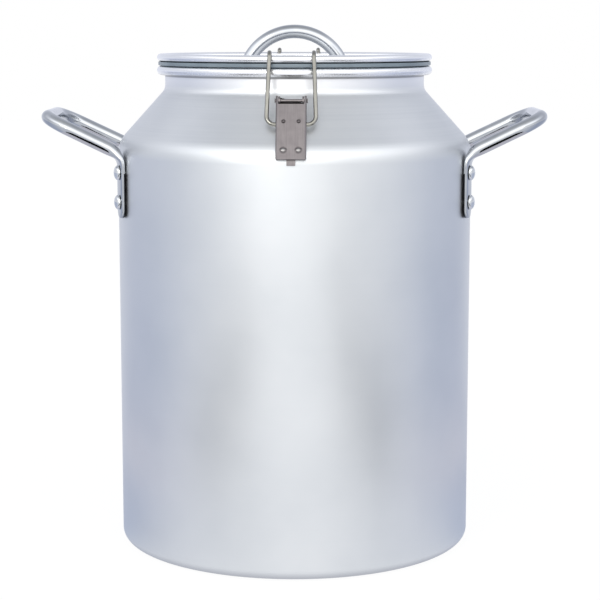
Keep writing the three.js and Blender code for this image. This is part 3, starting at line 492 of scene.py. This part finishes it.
# Gasket. A flat ring cut from sheet of blue-grey nitrile rubber and stretched on to the lid's plug. Its cut
# edge is faintly mottled, with a dull sheen broken by pores.
SEAT = 0.3
MOTTLE_WIDTH = 16.67
PORE = 0.7143
gasket_low, gasket_high = (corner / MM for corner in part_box("lid_gasket"))
nitrile = bpy.data.materials.new("nitrile_rubber_ring")
tree = new_tree(nitrile)
place = add_node(tree, "ShaderNodeTexCoord").outputs["Object"]
mottle = add_node(tree, "ShaderNodeTexNoise", {
    "Vector": place, "Scale": 1 / (MOTTLE_WIDTH * MM), "Detail": 4.0})
colour = add_node(
    tree, "ShaderNodeValToRGB", {0: mottle.outputs[0]},
    stops=[(0.25, "5E6C77"), (0.75, "74828B")])
# Real pores are finer than 0.1 mm, and are drawn here at 0.7 mm so that they show at all.
pores = add_node(tree, "ShaderNodeTexNoise", {"Vector": place, "Scale": 1 / (PORE * MM), "Detail": 2.0})
bump = add_node(tree, "ShaderNodeBump", {"Height": pores.outputs[0], "Strength": 0.3, "Distance": 0.0001})
matt = add_node(tree, "ShaderNodeMapRange", {"Value": mottle.outputs[0], "To Min": 0.25, "To Max": 0.38})
shader = add_node(tree, "ShaderNodeBsdfPrincipled", {
    "Base Color": colour.outputs[0], "Roughness": matt.outputs[0], "IOR": 1.52, "Specular IOR Level": 1.0,
    "Normal": bump.outputs[0]})
add_node(tree, "ShaderNodeOutputMaterial", {0: shader.outputs[0]})
gasket_outline = rounded([
    (PLUG_RADIUS + SEAT, gasket_low.z, 0.2),
    (gasket_high.x, gasket_low.z, 0.45),
    (gasket_high.x, gasket_high.z, 0.45),
    (PLUG_RADIUS + SEAT, gasket_high.z, 0.2),
], closed=True)
piece(
    "gasket_ring", spun([*gasket_outline, gasket_outline[0]]), nitrile,
    "lid", "gasket_rubber", "lid_gasket")


# Side handles. Each is one length of steel rod bent into a loop, pressed flat at both ends into feet that
# take two rivets each, then chromium plated all over, so it mirrors the room in long clean streaks.
ROD_RADIUS = 4.75
FOOT_WIDTH = 13.5
FOOT_THICKNESS = 3.3
FLAT_FADE = 4.5
SIDE_SPREAD = 80
SIDE_THROW = 46.5
SIDE_REACH = BODY_RADIUS + SIDE_THROW
SIDE_RISE = math.radians(25.5)
SIDE_CORNER = 19
SIDE_BEND = 13
SIDE_BEARING = math.radians(19.8)
SIDE_ELBOW_DROP = 6.3
SIDE_ELBOW = CORNER_LEVEL - SIDE_ELBOW_DROP
SIDE_FOOT_LENGTH = 44.1
SIDE_FOOT_BOTTOM = SIDE_ELBOW - SIDE_FOOT_LENGTH
SIDE_FOOT_RADIUS = BODY_RADIUS + SEAT + FOOT_THICKNESS / 2


def bent(stops, step=math.radians(7.5), spacing=4.0):
    """A path through (point, bend radius) stops as short steps, with round bends and even straights."""
    points = []
    for index, (stop, radius) in enumerate(stops):
        if not radius:
            corner = [stop.copy()]
        else:
            back = (stops[index - 1][0] - stop).normalized()
            ahead = (stops[index + 1][0] - stop).normalized()
            half_turn = back.angle(ahead) / 2
            axis = back.cross(ahead).normalized()
            centre = stop + (back + ahead).normalized() * radius / math.sin(half_turn)
            start = stop + back * radius / math.tan(half_turn) - centre
            count = max(3, math.ceil((math.pi - 2 * half_turn) / step))
            corner = [centre + Matrix.Rotation(
                -(math.pi - 2 * half_turn) * s / count, 3, axis) @ start for s in range(count + 1)]
        if points:
            gap = corner[0] - points[-1]
            between = int(gap.length // spacing)
            points += [points[-1] + gap * (s + 1) / (between + 1) for s in range(between)]
        points += corner
    return points


def ways_along(points):
    """The direction of travel at each point of a path."""
    last = len(points) - 1
    return [(points[min(i + 1, last)] - points[max(i - 1, 0)]).normalized() for i in range(len(points))]


def drawn(rings, sides=32):
    """A closed solid through rings of (point, across, through, half width, half thickness, bulge)."""
    shape = bmesh.new()
    loops = []
    for point, across, through, half_width, half_thickness, bulge in rings:
        loop = []
        for side in range(sides):
            angle = 2 * math.pi * (side + 0.5) / sides
            x, y = math.cos(angle), math.sin(angle)
            x, y = (math.copysign(abs(value) ** bulge, value) for value in (x, y))
            loop.append(shape.verts.new(point + across * half_width * x + through * half_thickness * y))
        loops.append(loop)
    for low, high in zip(loops, loops[1:]):
        for side in range(sides):
            after = (side + 1) % sides
            shape.faces.new((low[side], low[after], high[after], high[side]))
    for loop in (loops[0], loops[-1]):
        shape.faces.new(loop)
    return finished(shape, sharp=50)


def smooth_step(value, low, high):
    share = min(max((value - low) / (high - low), 0), 1)
    return share * share * (3 - 2 * share)


def flattened(points, face, flat):
    """Rings of a rod that is pressed flat by a share flat(point), thin in the direction face(point)."""
    rings = []
    for point, way in zip(points, ways_along(points)):
        through = face(point, way)
        through = (through - way * through.dot(way)).normalized()
        share = flat(point)
        half_width = ROD_RADIUS + (FOOT_WIDTH / 2 - ROD_RADIUS) * share
        half_thickness = ROD_RADIUS + (FOOT_THICKNESS / 2 - ROD_RADIUS) * share
        rings.append((point, through.cross(way), through, half_width, half_thickness, 1 - 0.5 * share))
    return rings


def rounded_end(ring, outwards, steps=9):
    """Rings past a foot's last one that close it with a half round end and a softened rim."""
    point, across, through, half_width, half_thickness, bulge = ring
    beyond = []
    for step in range(1, steps):
        angle = math.pi / 2 * step / steps
        thin = half_thickness * (1 - 0.25 * smooth_step(step / steps, 0.6, 1.0))
        beyond.append((
            point + outwards * half_width * math.sin(angle), across, through,
            half_width * math.cos(angle), thin, bulge))
    return beyond


def side_handle(sign):
    def foot(end, level):
        return Vector((
            sign * SIDE_FOOT_RADIUS * math.cos(SIDE_BEARING),
            end * SIDE_FOOT_RADIUS * math.sin(SIDE_BEARING), level))

    end_level = SIDE_ELBOW + (SIDE_REACH - foot(1, 0).x * sign) * math.tan(SIDE_RISE)
    bottom = SIDE_FOOT_BOTTOM + FOOT_WIDTH / 2
    rods = []
    for end in (-1, 1):
        corner = Vector((sign * SIDE_REACH, end * SIDE_SPREAD / 2, end_level))
        rods.append([(foot(end, bottom), 0), (foot(end, SIDE_ELBOW), SIDE_BEND), (corner, SIDE_CORNER)])
    path = bent(rods[0] + rods[1][::-1])
    slope_face = Vector((-sign * math.sin(SIDE_RISE), 0, math.cos(SIDE_RISE)))

    def flat(point):
        return 1 - smooth_step(point.z, SIDE_ELBOW - SIDE_BEND / 2, SIDE_ELBOW + FLAT_FADE)

    def face(point, way):
        inwards = Vector((-point.x, -point.y, 0)).normalized()
        return slope_face.lerp(inwards, flat(point))

    rings = flattened(path, face, flat)
    down = Vector((0, 0, -1))
    return drawn(rounded_end(rings[0], down)[::-1] + rings + rounded_end(rings[-1], down))


PATCH_WIDTH = 11.11
RIPPLE = 7.692


def bright_metal(name, colours, roughness, wave, scuff, wall_gap=0.0):
    """A bright finish: metallic, a near mirror, with a slow ripple from the rod and faint rubbed patches.
    Below the elbow and within wall_gap millimetres of the can's wall it is painted near black, as painted
    shadow."""
    finish = bpy.data.materials.new(name)
    tree = new_tree(finish)
    place = add_node(tree, "ShaderNodeTexCoord").outputs["Object"]
    patches = add_node(tree, "ShaderNodeTexNoise", {
        "Vector": place, "Scale": 1 / (PATCH_WIDTH * MM), "Detail": 4.0})
    colour = add_node(
        tree, "ShaderNodeValToRGB", {0: patches.outputs[0]},
        stops=[(0.3, colours[0]), (0.7, colours[1])])
    rubbed = add_node(tree, "ShaderNodeMapRange", {
        "Value": patches.outputs[0], "From Min": 0.45, "From Max": 0.75,
        "To Min": roughness, "To Max": roughness + scuff})
    ripple = add_node(tree, "ShaderNodeTexNoise", {
        "Vector": place, "Scale": 1 / (RIPPLE * MM), "Detail": 1.0})
    bump = add_node(tree, "ShaderNodeBump", {
        "Height": ripple.outputs[0], "Strength": wave, "Distance": 0.0004})
    flat = add_node(tree, "ShaderNodeVectorMath", {0: place, 1: (1, 1, 0)}, operation="MULTIPLY")
    radius = add_node(tree, "ShaderNodeVectorMath", {0: flat.outputs[0]}, operation="LENGTH")
    outside = add_node(tree, "ShaderNodeMath", {
        0: radius.outputs["Value"], 1: BODY_RADIUS * MM}, operation="GREATER_THAN")
    near = add_node(tree, "ShaderNodeMath", {
        0: radius.outputs["Value"], 1: (BODY_RADIUS + wall_gap) * MM}, operation="LESS_THAN")
    level = add_node(tree, "ShaderNodeSeparateXYZ", {0: place})
    below = add_node(tree, "ShaderNodeMath", {
        0: level.outputs["Z"], 1: (SIDE_ELBOW - SIDE_BEND) * MM}, operation="LESS_THAN")
    beside_wall = add_node(tree, "ShaderNodeMath", {
        0: outside.outputs[0], 1: near.outputs[0]}, operation="MULTIPLY")
    # Painted shadow: near black where the rod runs close beside the can's wall below the elbow.
    gap_shadow = add_node(tree, "ShaderNodeMath", {
        0: beside_wall.outputs[0], 1: below.outputs[0]}, operation="MULTIPLY")
    gap_shaded = add_node(tree, "ShaderNodeMix", {
        0: gap_shadow.outputs[0], 6: colour.outputs[0], 7: linear("2A2C30")}, data_type="RGBA")
    shader = add_node(tree, "ShaderNodeBsdfPrincipled", {
        "Base Color": gap_shaded.outputs[2], "Metallic": 1.0, "Roughness": rubbed.outputs[0],
        "Normal": bump.outputs[0]})
    add_node(tree, "ShaderNodeOutputMaterial", {0: shader.outputs[0]})
    return finish


chrome = bright_metal(
    "chromium_plated_rod", ("B8BBC0", "C8CACD"), roughness=0.05, wave=0.05, scuff=0.06, wall_gap=1.9)
for side, sign in (("left", -1), ("right", 1)):
    piece(f"{side}_handle_loop", side_handle(sign), chrome, "can", "handle_rod", f"{side}_handle")


# Lid handle. The same rod bent into a half round arch that turns outwards into two flat feet, riveted to
# the floor of the lid with two rivets a side. Chromium plated like the loops.
LID_FOOT_LEVEL = LID_FLOOR + SEAT + FOOT_THICKNESS / 2
LID_FOOT_INSET = 13.9
LID_FOOT_END = PLUG_RADIUS - LID_WALL - LID_FOOT_INSET
LID_FOOT_LENGTH = 37
ARCH_RADIUS = LID_FOOT_END - LID_FOOT_LENGTH
ARCH_BEND = 10
ARCH_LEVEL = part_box("lid_handle")[1].z / MM - ROD_RADIUS - ARCH_RADIUS


def lid_arch():
    bend_level = LID_FOOT_LEVEL + ARCH_BEND
    bend_x = math.sqrt((ARCH_RADIUS + ARCH_BEND) ** 2 - (bend_level - ARCH_LEVEL) ** 2)
    meet = math.atan2(bend_level - ARCH_LEVEL, bend_x)
    half = [Vector((LID_FOOT_END - FOOT_WIDTH / 2, 0, LID_FOOT_LEVEL))]
    straight = half[0].x - bend_x
    half += [Vector((half[0].x - straight * s / 5, 0, LID_FOOT_LEVEL)) for s in range(1, 5)]
    for step in range(13):
        angle = -math.pi / 2 - (math.pi / 2 - meet) * step / 12
        half.append(
            Vector((bend_x + ARCH_BEND * math.cos(angle), 0, bend_level + ARCH_BEND * math.sin(angle))))
    for step in range(1, 21):
        angle = meet + (math.pi / 2 - meet) * step / 20
        half.append(Vector((ARCH_RADIUS * math.cos(angle), 0, ARCH_LEVEL + ARCH_RADIUS * math.sin(angle))))
    path = half + [Vector((-p.x, p.y, p.z)) for p in half[-2::-1]]

    def flat(point):
        return 1 - smooth_step(point.z, LID_FOOT_LEVEL + 0.6, bend_level + 2)

    rings = flattened(path, lambda point, way: Vector((0, 1, 0)).cross(way), flat)
    right, left = Vector((1, 0, 0)), Vector((-1, 0, 0))
    return drawn(rounded_end(rings[0], right)[::-1] + rings + rounded_end(rings[-1], left))


piece("lid_handle_arch", lid_arch(), chrome, "lid", "handle_rod", "lid_handle")


# Rivets. Solid aluminium rivets with domed heads outside and a flattened tail inside, set cold through foot
# and wall. The heads are tumbled bright, and a little duller than the plated rod round them.
HANDLE_RIVET = {"shank": 2.5, "head": 5.3, "dome": 3.1, "tail": 4.0, "tail_height": 1.4}
LATCH_RIVET = {"shank": 1.6, "head": 3.2, "dome": 1.2, "tail": 2.8, "tail_height": 1.1}
TAIL_SEAT = 0.7


def rivet(sizes, grip, matrix):
    """A rivet on Z with its head on z = 0 and its tail a grip below, placed by a matrix."""
    shank, head, dome, tail = sizes["shank"], sizes["head"], sizes["dome"], sizes["tail"]
    tail_end = -grip - sizes["tail_height"]
    outline = [
        (0, tail_end), (tail * 0.75, tail_end), (tail * 0.93, tail_end + 0.25),
        (tail, tail_end + 0.7), (tail, -grip)]
    outline += [(shank, -grip), (shank, 0), (head * 0.94, 0), (head, dome * 0.12)]
    for step in range(2, 13):
        angle = math.pi / 2 * step / 12
        outline.append((head * math.cos(angle), dome * math.sin(angle)))
    outline[-1] = (0, dome)
    return spun(outline, 40, matrix)


bright_rivet = bright_metal(
    "bright_aluminium_rivet", ("D6D8DA", "E9EAEA"), roughness=0.13, wave=0.2, scuff=0.14)


def facing(point, outwards):
    return Matrix.Translation(point) @ Vector((0, 0, 1)).rotation_difference(outwards).to_matrix().to_4x4()


side_grip = FOOT_THICKNESS + WALL + 2 * SEAT + TAIL_SEAT
side_head = SIDE_FOOT_RADIUS + FOOT_THICKNESS / 2 + SEAT
for side, axis_bearing, sign in (("left", math.pi, -1), ("right", 0, 1)):
    for end, end_sign in (("front", -1), ("back", 1)):
        angle = axis_bearing + end_sign * sign * SIDE_BEARING
        outwards = Vector((math.cos(angle), math.sin(angle), 0))
        for level, share in (("lower", 0.25), ("upper", 0.71)):
            point = outwards * side_head + Vector((0, 0, SIDE_FOOT_BOTTOM + SIDE_FOOT_LENGTH * share))
            name = f"{side}_handle_rivet_{end}_{level}"
            piece(
                f"{name}_dome", rivet(HANDLE_RIVET, side_grip, facing(point, outwards)), bright_rivet,
                "can", "handle_rivets", name)
lid_grip = FOOT_THICKNESS + LID_WALL + 3 * SEAT
for side, sign in (("left", -1), ("right", 1)):
    for spot, share in (("inner", 0.4), ("outer", 0.78)):
        x = sign * (ARCH_RADIUS + LID_FOOT_LENGTH * share)
        point = Vector((x, 0, LID_FOOT_LEVEL + FOOT_THICKNESS / 2 + SEAT))
        name = f"lid_handle_rivet_{side}_{spot}"
        piece(
            f"{name}_dome", rivet(HANDLE_RIVET, lid_grip, facing(point, Vector((0, 0, 1)))), bright_rivet,
            "lid", "handle_rivets", name)


# Latches. Each is a toggle clamp pressed from nickel plated steel sheet: a base riveted to the shoulder,
# a channel lever on a hinge pin, and a wire bail that hooks over the lid's bead. Front and back are alike.
SLOPE_DOWN = Vector((math.cos(SHOULDER_ANGLE), -math.sin(SHOULDER_ANGLE)))
SLOPE_OUT = Vector((math.sin(SHOULDER_ANGLE), math.cos(SHOULDER_ANGLE)))
HINGE_UP = 35.7
HINGE_HEIGHT = 9.4
PIVOT_UP = 20.4
PIVOT_HEIGHT = 3.9
LEVER_LEAN = math.radians(26)
LEVER_WIDTH = 20
LEVER_SHEET = 1.3
LEVER_EAR = 3.3
LEVER_LENGTH = 42.1
LEVER_SLOT = 3.6
BASE_SHEET = 1.2
WIRE_RADIUS = 1.45
PIN_RADIUS = 1.1
PIN_CLEARANCE = 0.25
HOOK_CLEARANCE = 0.35


def on_cone(up, out):
    return Vector((BODY_RADIUS, CORNER_LEVEL)) - SLOPE_DOWN * up + SLOPE_OUT * out


def beside(x, flat):
    """A point of a latch from its place across and its (radius, level)."""
    return Vector((x, flat.x, flat.y))


hinge = on_cone(HINGE_UP, HINGE_HEIGHT)
pivot = on_cone(PIVOT_UP, PIVOT_HEIGHT)
lever_down = Vector((math.sin(LEVER_LEAN), -math.cos(LEVER_LEAN)))
lever_out = Vector((math.cos(LEVER_LEAN), math.sin(LEVER_LEAN)))


def slab(outline, half, origin, first, second, third):
    """A mesh from an outline in the plane of two directions, thick by half to each side along the third."""
    shape = bmesh.new()
    low, high = (
        [shape.verts.new(origin + first * x + second * y + third * z) for x, y in outline]
        for z in (-half, half))
    shape.faces.new(low)
    shape.faces.new(high)
    for index in range(len(low)):
        after = (index + 1) % len(low)
        shape.faces.new((low[index], low[after], high[after], high[index]))
    return finished(shape)


ACROSS = Vector((1, 0, 0))


def side_slab(outline, width, origin, first, second):
    return slab(outline, width / 2, beside(0, origin), beside(0, first), beside(0, second), ACROSS)


def front_slab(outline, depth, origin, down, out):
    return slab(outline, depth / 2, beside(0, origin), ACROSS, beside(0, down), beside(0, out))


def turned_across(outline, point):
    """A turned piece that lies across the latch, through a point."""
    return spun(outline, 32, Matrix.Translation(beside(0, point)) @ Matrix.Rotation(math.pi / 2, 4, "Y"))


def cross_rod(point, radius):
    half = LEVER_WIDTH
    return turned_across([(0, -half), (radius, -half), (radius, half), (0, half)], point)


def ball(radius, point, stretch=1.0):
    """A ball that may be stretched across the latch."""
    outline = [
        (radius * math.sin(math.pi * s / 16), -radius * math.cos(math.pi * s / 16)) for s in range(17)]
    outline[0], outline[-1] = (0, -radius), (0, radius)
    return spun(outline, 32, Matrix.Translation(point) @ Matrix.Diagonal((stretch, 1, 1, 1)))


def eased(mesh, width):
    """Breaks the sheet's sharp edges by a small round, as tumbling and plating leave them."""
    holder = in_scene("eased", mesh)
    weld = holder.modifiers.new("weld", "WELD")
    weld.merge_threshold = 0.00001
    step = holder.modifiers.new("ease", "BEVEL")
    step.width = width * MM
    step.segments = 2
    step.limit_method = "ANGLE"
    step.angle_limit = math.radians(40)
    step.use_clamp_overlap = True
    return applied(holder)


def flat_faced(mesh):
    """Smooth at its small rounds, with its broad faces kept optically flat."""
    holder = in_scene("flat_faced", smoothed(mesh, 40))
    step = holder.modifiers.new("normals", "WEIGHTED_NORMAL")
    step.keep_sharp = True
    step.weight = 100
    return applied(holder)


def arc_points(centre, radius, start, turn, steps):
    angles = [start + turn * s / steps for s in range(steps + 1)]
    return [Vector(centre) + Vector((radius * math.cos(a), radius * math.sin(a))) for a in angles]


MARK_SIDES = (-4.9, 4.9)
DIMPLE_DOWN = 15.8
PIP_DOWN = LEVER_LENGTH - 6.3


def on_plate(x, down, out=0.0):
    """A point on the lever's face, from its place across, its distance below the hinge and its height."""
    return beside(x, hinge + lever_down * down + lever_out * (LEVER_EAR + out))


def latch_lever():
    to_pivot = pivot - hinge
    bail = Vector((to_pivot.dot(lever_down), to_pivot.dot(lever_out)))
    lobe = 2.7
    taper_end = 28.4
    edge_depth = 2.4
    edge = LEVER_EAR - edge_depth
    side = arc_points((0, 0), LEVER_EAR, math.pi / 2, math.pi, 20)
    side += arc_points(bail, lobe, -math.pi / 2, math.pi * 0.38, 8)
    side += [Vector((taper_end, edge)), Vector((LEVER_LENGTH, edge)), Vector((LEVER_LENGTH, LEVER_EAR))]
    half = LEVER_WIDTH / 2
    inner = half - LEVER_SHEET
    under = LEVER_EAR - LEVER_SHEET
    fold = 1.9
    legs = -12
    channel = rounded([
        (-half, legs), (-half, LEVER_EAR, fold), (half, LEVER_EAR, fold), (half, legs),
        (inner, legs), (inner, under, 0.5), (-inner, under, 0.5), (-inner, legs)], closed=True)
    sleeve = slab(
        channel, 2 * LEVER_LENGTH, beside(0, hinge), ACROSS, beside(0, lever_out), beside(0, lever_down))
    mesh = cut(side_slab(side, LEVER_WIDTH, hinge, lever_down, lever_out), sleeve, "INTERSECT")
    far = LEVER_LENGTH * 2
    front = rounded(
        [(-half, -far), (half, -far), (half, LEVER_LENGTH, 1.5), (-half, LEVER_LENGTH, 1.5)], closed=True)
    mesh = cut(mesh, front_slab(front, far, hinge, lever_down, lever_out), "INTERSECT")
    slot = [(-inner, -far), (inner, -far), (inner, LEVER_SLOT), (-inner, LEVER_SLOT)]
    mesh = cut(mesh, front_slab(slot, far, hinge, lever_down, lever_out))
    mesh = cut(mesh, cross_rod(hinge, PIN_RADIUS + PIN_CLEARANCE))
    mesh = cut(mesh, cross_rod(pivot, WIRE_RADIUS + SEAT))
    mesh = eased(mesh, 0.22)

    dimple_radius = 1.35
    dimple_depth = 0.85
    pip_across = 2.7
    pip_along = 1.65
    pip_height = 0.75
    dimple_ball = (dimple_radius ** 2 + dimple_depth ** 2) / (2 * dimple_depth)
    pip_ball = (pip_along ** 2 + pip_height ** 2) / (2 * pip_height)
    outside = front_slab(
        front, 2.0, hinge + lever_out * (LEVER_EAR - LEVER_SHEET * 0.5 + 1.0), lever_down, lever_out)
    for x in MARK_SIDES:
        mesh = cut(mesh, ball(dimple_ball, on_plate(x, DIMPLE_DOWN, dimple_ball - dimple_depth)))
        pip = ball(pip_ball, on_plate(x, PIP_DOWN, pip_height - pip_ball), pip_across / pip_along)
        mesh = cut(mesh, cut(pip, outside.copy(), "INTERSECT"), "UNION")
    return flat_faced(mesh)


def latch_base():
    turn = math.pi / 2 - SHOULDER_ANGLE
    blend_down = HINGE_UP - SHOULDER_BLEND * math.tan(turn / 2)
    span = LEVER_WIDTH - 2 * LEVER_SHEET - 2 * SEAT
    top_end = -4.5
    tongue_drop = 0.4
    drop = Vector((math.cos(turn), -math.sin(turn))) * tongue_drop
    foot = hinge - SLOPE_OUT * HINGE_HEIGHT

    def arc(radius, share):
        return Vector((
            blend_down + radius * math.sin(turn * share),
            -SHOULDER_BLEND + radius * math.cos(turn * share)))

    shares = [s / 8 for s in range(9)]
    inner, outer = SHOULDER_BLEND + SEAT, SHOULDER_BLEND + SEAT + BASE_SHEET
    strip = [
        Vector((top_end, SEAT)), *(arc(inner, s) for s in shares), arc(inner, 1) + drop,
        arc(outer, 1) + drop]
    strip += [*(arc(outer, s) for s in shares[::-1]), Vector((top_end, SEAT + BASE_SHEET))]
    half = span / 2
    tongue = 2.8
    narrow_from = 28.6
    narrow_to = 33.6
    below = 60
    front = rounded([
        (-half, top_end - 1), (half, top_end - 1), (half, narrow_from, 2), (tongue, narrow_to, 2),
        (tongue, below), (-tongue, below), (-tongue, narrow_to, 2), (-half, narrow_from, 2),
    ], closed=True)
    mesh = cut(
        side_slab(strip, span, foot, SLOPE_DOWN, SLOPE_OUT),
        front_slab(front, 50, foot, SLOPE_DOWN, SLOPE_OUT), "INTERSECT")
    ear_foot = 4.5
    ear_top = 2.9
    ear = [Vector((ear_foot, SEAT + BASE_SHEET / 2)), Vector((-ear_foot, SEAT + BASE_SHEET / 2))]
    ear += arc_points((0, HINGE_HEIGHT), ear_top, math.pi, -math.pi, 16)
    gap_half = ear_foot + 1
    gap_top = 18
    gap = [
        (gap_half, SEAT + BASE_SHEET), (-gap_half, SEAT + BASE_SHEET),
        (-gap_half, gap_top), (gap_half, gap_top)]
    ears = cut(
        side_slab(ear, span, foot, SLOPE_DOWN, SLOPE_OUT),
        side_slab(gap, span - 2 * BASE_SHEET, foot, SLOPE_DOWN, SLOPE_OUT))
    mesh = cut(mesh, ears, "UNION")
    return flat_faced(eased(cut(mesh, cross_rod(hinge, PIN_RADIUS + PIN_CLEARANCE)), 0.2))


def latch_bail():
    """The bent wire: hooks over the lid's bead, legs down beside the lever and a closed end through it."""
    half_top = 14.6
    half_bottom = 16.25
    bottom_bend = 5.5
    nib_length = 0.28
    nib_share = 0.82
    tip = math.pi / 2 + math.radians(46)
    round_radius = LID_RIM_HEIGHT / 2
    rim_centre = Vector(
        (math.sqrt((LID_RIM_RADIUS - round_radius) ** 2 - half_top ** 2), LID_TOP - round_radius))
    hook = round_radius + HOOK_CLEARANCE + WIRE_RADIUS
    to_pivot = pivot - rim_centre
    leave = math.atan2(to_pivot.y, to_pivot.x) + math.acos(hook / to_pivot.length)
    half = []
    for step in range(21):
        angle = tip + (leave - tip) * step / 20
        half.append((beside(half_top, rim_centre + Vector((math.cos(angle), math.sin(angle))) * hook), 0))
    half.append((beside(half_bottom, pivot), bottom_bend))
    mirrored = [(Vector((-p.x, p.y, p.z)), bend) for p, bend in half[::-1]]
    path = bent(half + mirrored, spacing=6.0)
    normal = ACROSS.cross(beside(0, pivot - rim_centre)).normalized()
    rings = []
    for point, way in zip(path, ways_along(path)):
        near_hook = point.z > LID_RIM_BOTTOM - 6
        through = Vector((math.copysign(1, point.x), 0, 0)).cross(way) if near_hook else normal
        through = (through - way * through.dot(way)).normalized()
        rings.append((point, through.cross(way), through, WIRE_RADIUS, WIRE_RADIUS, 1))
    ends = []
    for ring, out in ((rings[0], -ways_along(path)[0]), (rings[-1], ways_along(path)[-1])):
        point, across, through, size = ring[:4]
        thin = size * nib_share
        ends.append([(point + out * nib_length, across, through, thin, thin, 1)])
    return drawn(ends[0] + rings + ends[1], 20)


def hinge_pin():
    """A headed pin whose far end is riveted over."""
    half = LEVER_WIDTH / 2 + SEAT
    head = 1.6
    head_thickness = 0.5
    end = half + head_thickness
    outline = rounded([
        (0, -end), (head, -end, 0.3), (head, -half, 0.1), (PIN_RADIUS, -half), (PIN_RADIUS, half),
        (head, half, 0.1), (head, end, 0.3), (0, end)])
    return turned_across(outline, hinge)


SHEET_TONES = ("7F797A", "928C8C")
LINE_STEP = 0.7143
LINE_LENGTH = 16.67
BLOOM_WIDTH = 4.545


def plated_sheet(name, colours, roughness, dimples=(), pips=()):
    """Nickel plated pressed steel: metallic, warm grey and dull, with fine rolling lines and cloudy patches.
    Dimples carry painted shade, and pips a painted highlight on top with a painted shadow ring at their
    foot."""
    finish = bpy.data.materials.new(name)
    tree = new_tree(finish)
    place = add_node(tree, "ShaderNodeTexCoord").outputs["Object"]
    # Rolling lines run along the lever. Real ones are finer than can be shown, so these lie 0.7 mm apart.
    across = 1 / (LINE_STEP * MM)
    along = 1 / (LINE_LENGTH * MM)
    stretch = add_node(tree, "ShaderNodeVectorMath", {
        0: place, 1: (across, along, along)}, operation="MULTIPLY")
    lines = add_node(tree, "ShaderNodeTexNoise", {
        "Vector": stretch.outputs[0], "Scale": 1.0, "Detail": 2.0})
    clouds = add_node(tree, "ShaderNodeTexNoise", {
        "Vector": place, "Scale": 1 / (BLOOM_WIDTH * MM), "Detail": 4.0})
    tone = add_node(tree, "ShaderNodeMix", {0: 0.45, 2: clouds.outputs[0], 3: lines.outputs[0]})
    colour = add_node(
        tree, "ShaderNodeValToRGB", {0: tone.outputs[0]},
        stops=[(0.3, colours[0]), (0.7, colours[1])])
    matt = add_node(tree, "ShaderNodeMapRange", {
        "Value": clouds.outputs[0], "From Min": 0.3, "From Max": 0.7,
        "To Min": roughness - 0.05, "To Max": roughness + 0.05})
    bump = add_node(tree, "ShaderNodeBump", {
        "Height": lines.outputs[0], "Strength": 0.2, "Distance": 0.0001})

    def marked(below, spots, code, start, end, strength):
        """Mixes in a colour that fades out between two distances from the nearest spot."""
        for spot in spots:
            off = add_node(tree, "ShaderNodeVectorMath", {0: place, 1: spot}, operation="DISTANCE")
            share = add_node(tree, "ShaderNodeMapRange", {
                "Value": off.outputs["Value"], "From Min": start * MM, "From Max": end * MM,
                "To Min": strength, "To Max": 0.0})
            below = add_node(tree, "ShaderNodeMix", {
                0: share.outputs[0], 6: below, 7: linear(code)}, data_type="RGBA").outputs[2]
        return below

    # Painted shade in the dimples, a painted shadow ring round each pip's foot and a painted highlight on
    # its top.
    with_painted_light = marked(colour.outputs[0], dimples, "3A3636", start=0.7, end=1.7, strength=0.7)
    with_painted_light = marked(with_painted_light, pips, "4A4646", start=1.9, end=2.9, strength=0.55)
    with_painted_light = marked(with_painted_light, pips, "D8D6D4", start=0.0, end=1.7, strength=1.0)
    shader = add_node(tree, "ShaderNodeBsdfPrincipled", {
        "Base Color": with_painted_light, "Metallic": 1.0, "Roughness": matt.outputs[0], "Normal": bump.outputs[0]})
    add_node(tree, "ShaderNodeOutputMaterial", {0: shader.outputs[0]})
    return finish


turns = {}
for side in ("front", "back"):
    hinge_place = next(j for j in frame["joints"] if j["name"] == f"{side}_lever_hinge")["pos_m"]
    turns[side] = Matrix.Rotation(math.atan2(hinge_place[1], hinge_place[0]) - math.pi / 2, 4, "Z")
nickel_sheet = plated_sheet("nickel_plated_sheet", SHEET_TONES, roughness=0.40)
lever_nickel = plated_sheet(
    "nickel_plated_lever", SHEET_TONES, 0.40,
    [turn @ on_plate(x, DIMPLE_DOWN) * MM for turn in turns.values() for x in MARK_SIDES],
    [turn @ on_plate(x, PIP_DOWN) * MM for turn in turns.values() for x in MARK_SIDES])
nickel_wire = bright_metal(
    "nickel_plated_wire", ("8C8A84", "A2A098"), roughness=0.12, wave=0.1, scuff=0.08)
lever_mesh, base_mesh, bail_mesh, pin_mesh = latch_lever(), latch_base(), latch_bail(), hinge_pin()
latch_grip = BASE_SHEET + WALL + 2 * SEAT + TAIL_SEAT
for side in ("front", "back"):
    turned = turns[side]
    for kind, mesh, finish, body, slot in (
            ("lever", lever_mesh, lever_nickel, f"{side}_lever", "latch_steel"),
            ("base", base_mesh, nickel_sheet, "can", "latch_steel"),
            ("bail", bail_mesh, nickel_wire, f"{side}_bail", "latch_wire"),
            ("hinge_pin", pin_mesh, nickel_sheet, "can", "latch_steel")):
        own = mesh.copy()
        own.transform(turned)
        piece(f"{side}_toggle_{kind}", own, finish, body, slot, f"{side}_latch_{kind}")
    for level, down in (("upper", 5), ("lower", 22)):
        point = beside(0, on_cone(HINGE_UP - down, BASE_SHEET + 2 * SEAT))
        matrix = turned @ facing(point, beside(0, SLOPE_OUT))
        name = f"{side}_latch_rivet_{level}"
        piece(
            f"{name}_dome", rivet(LATCH_RIVET, latch_grip, matrix), bright_rivet,
            "can", "latch_rivets", name)
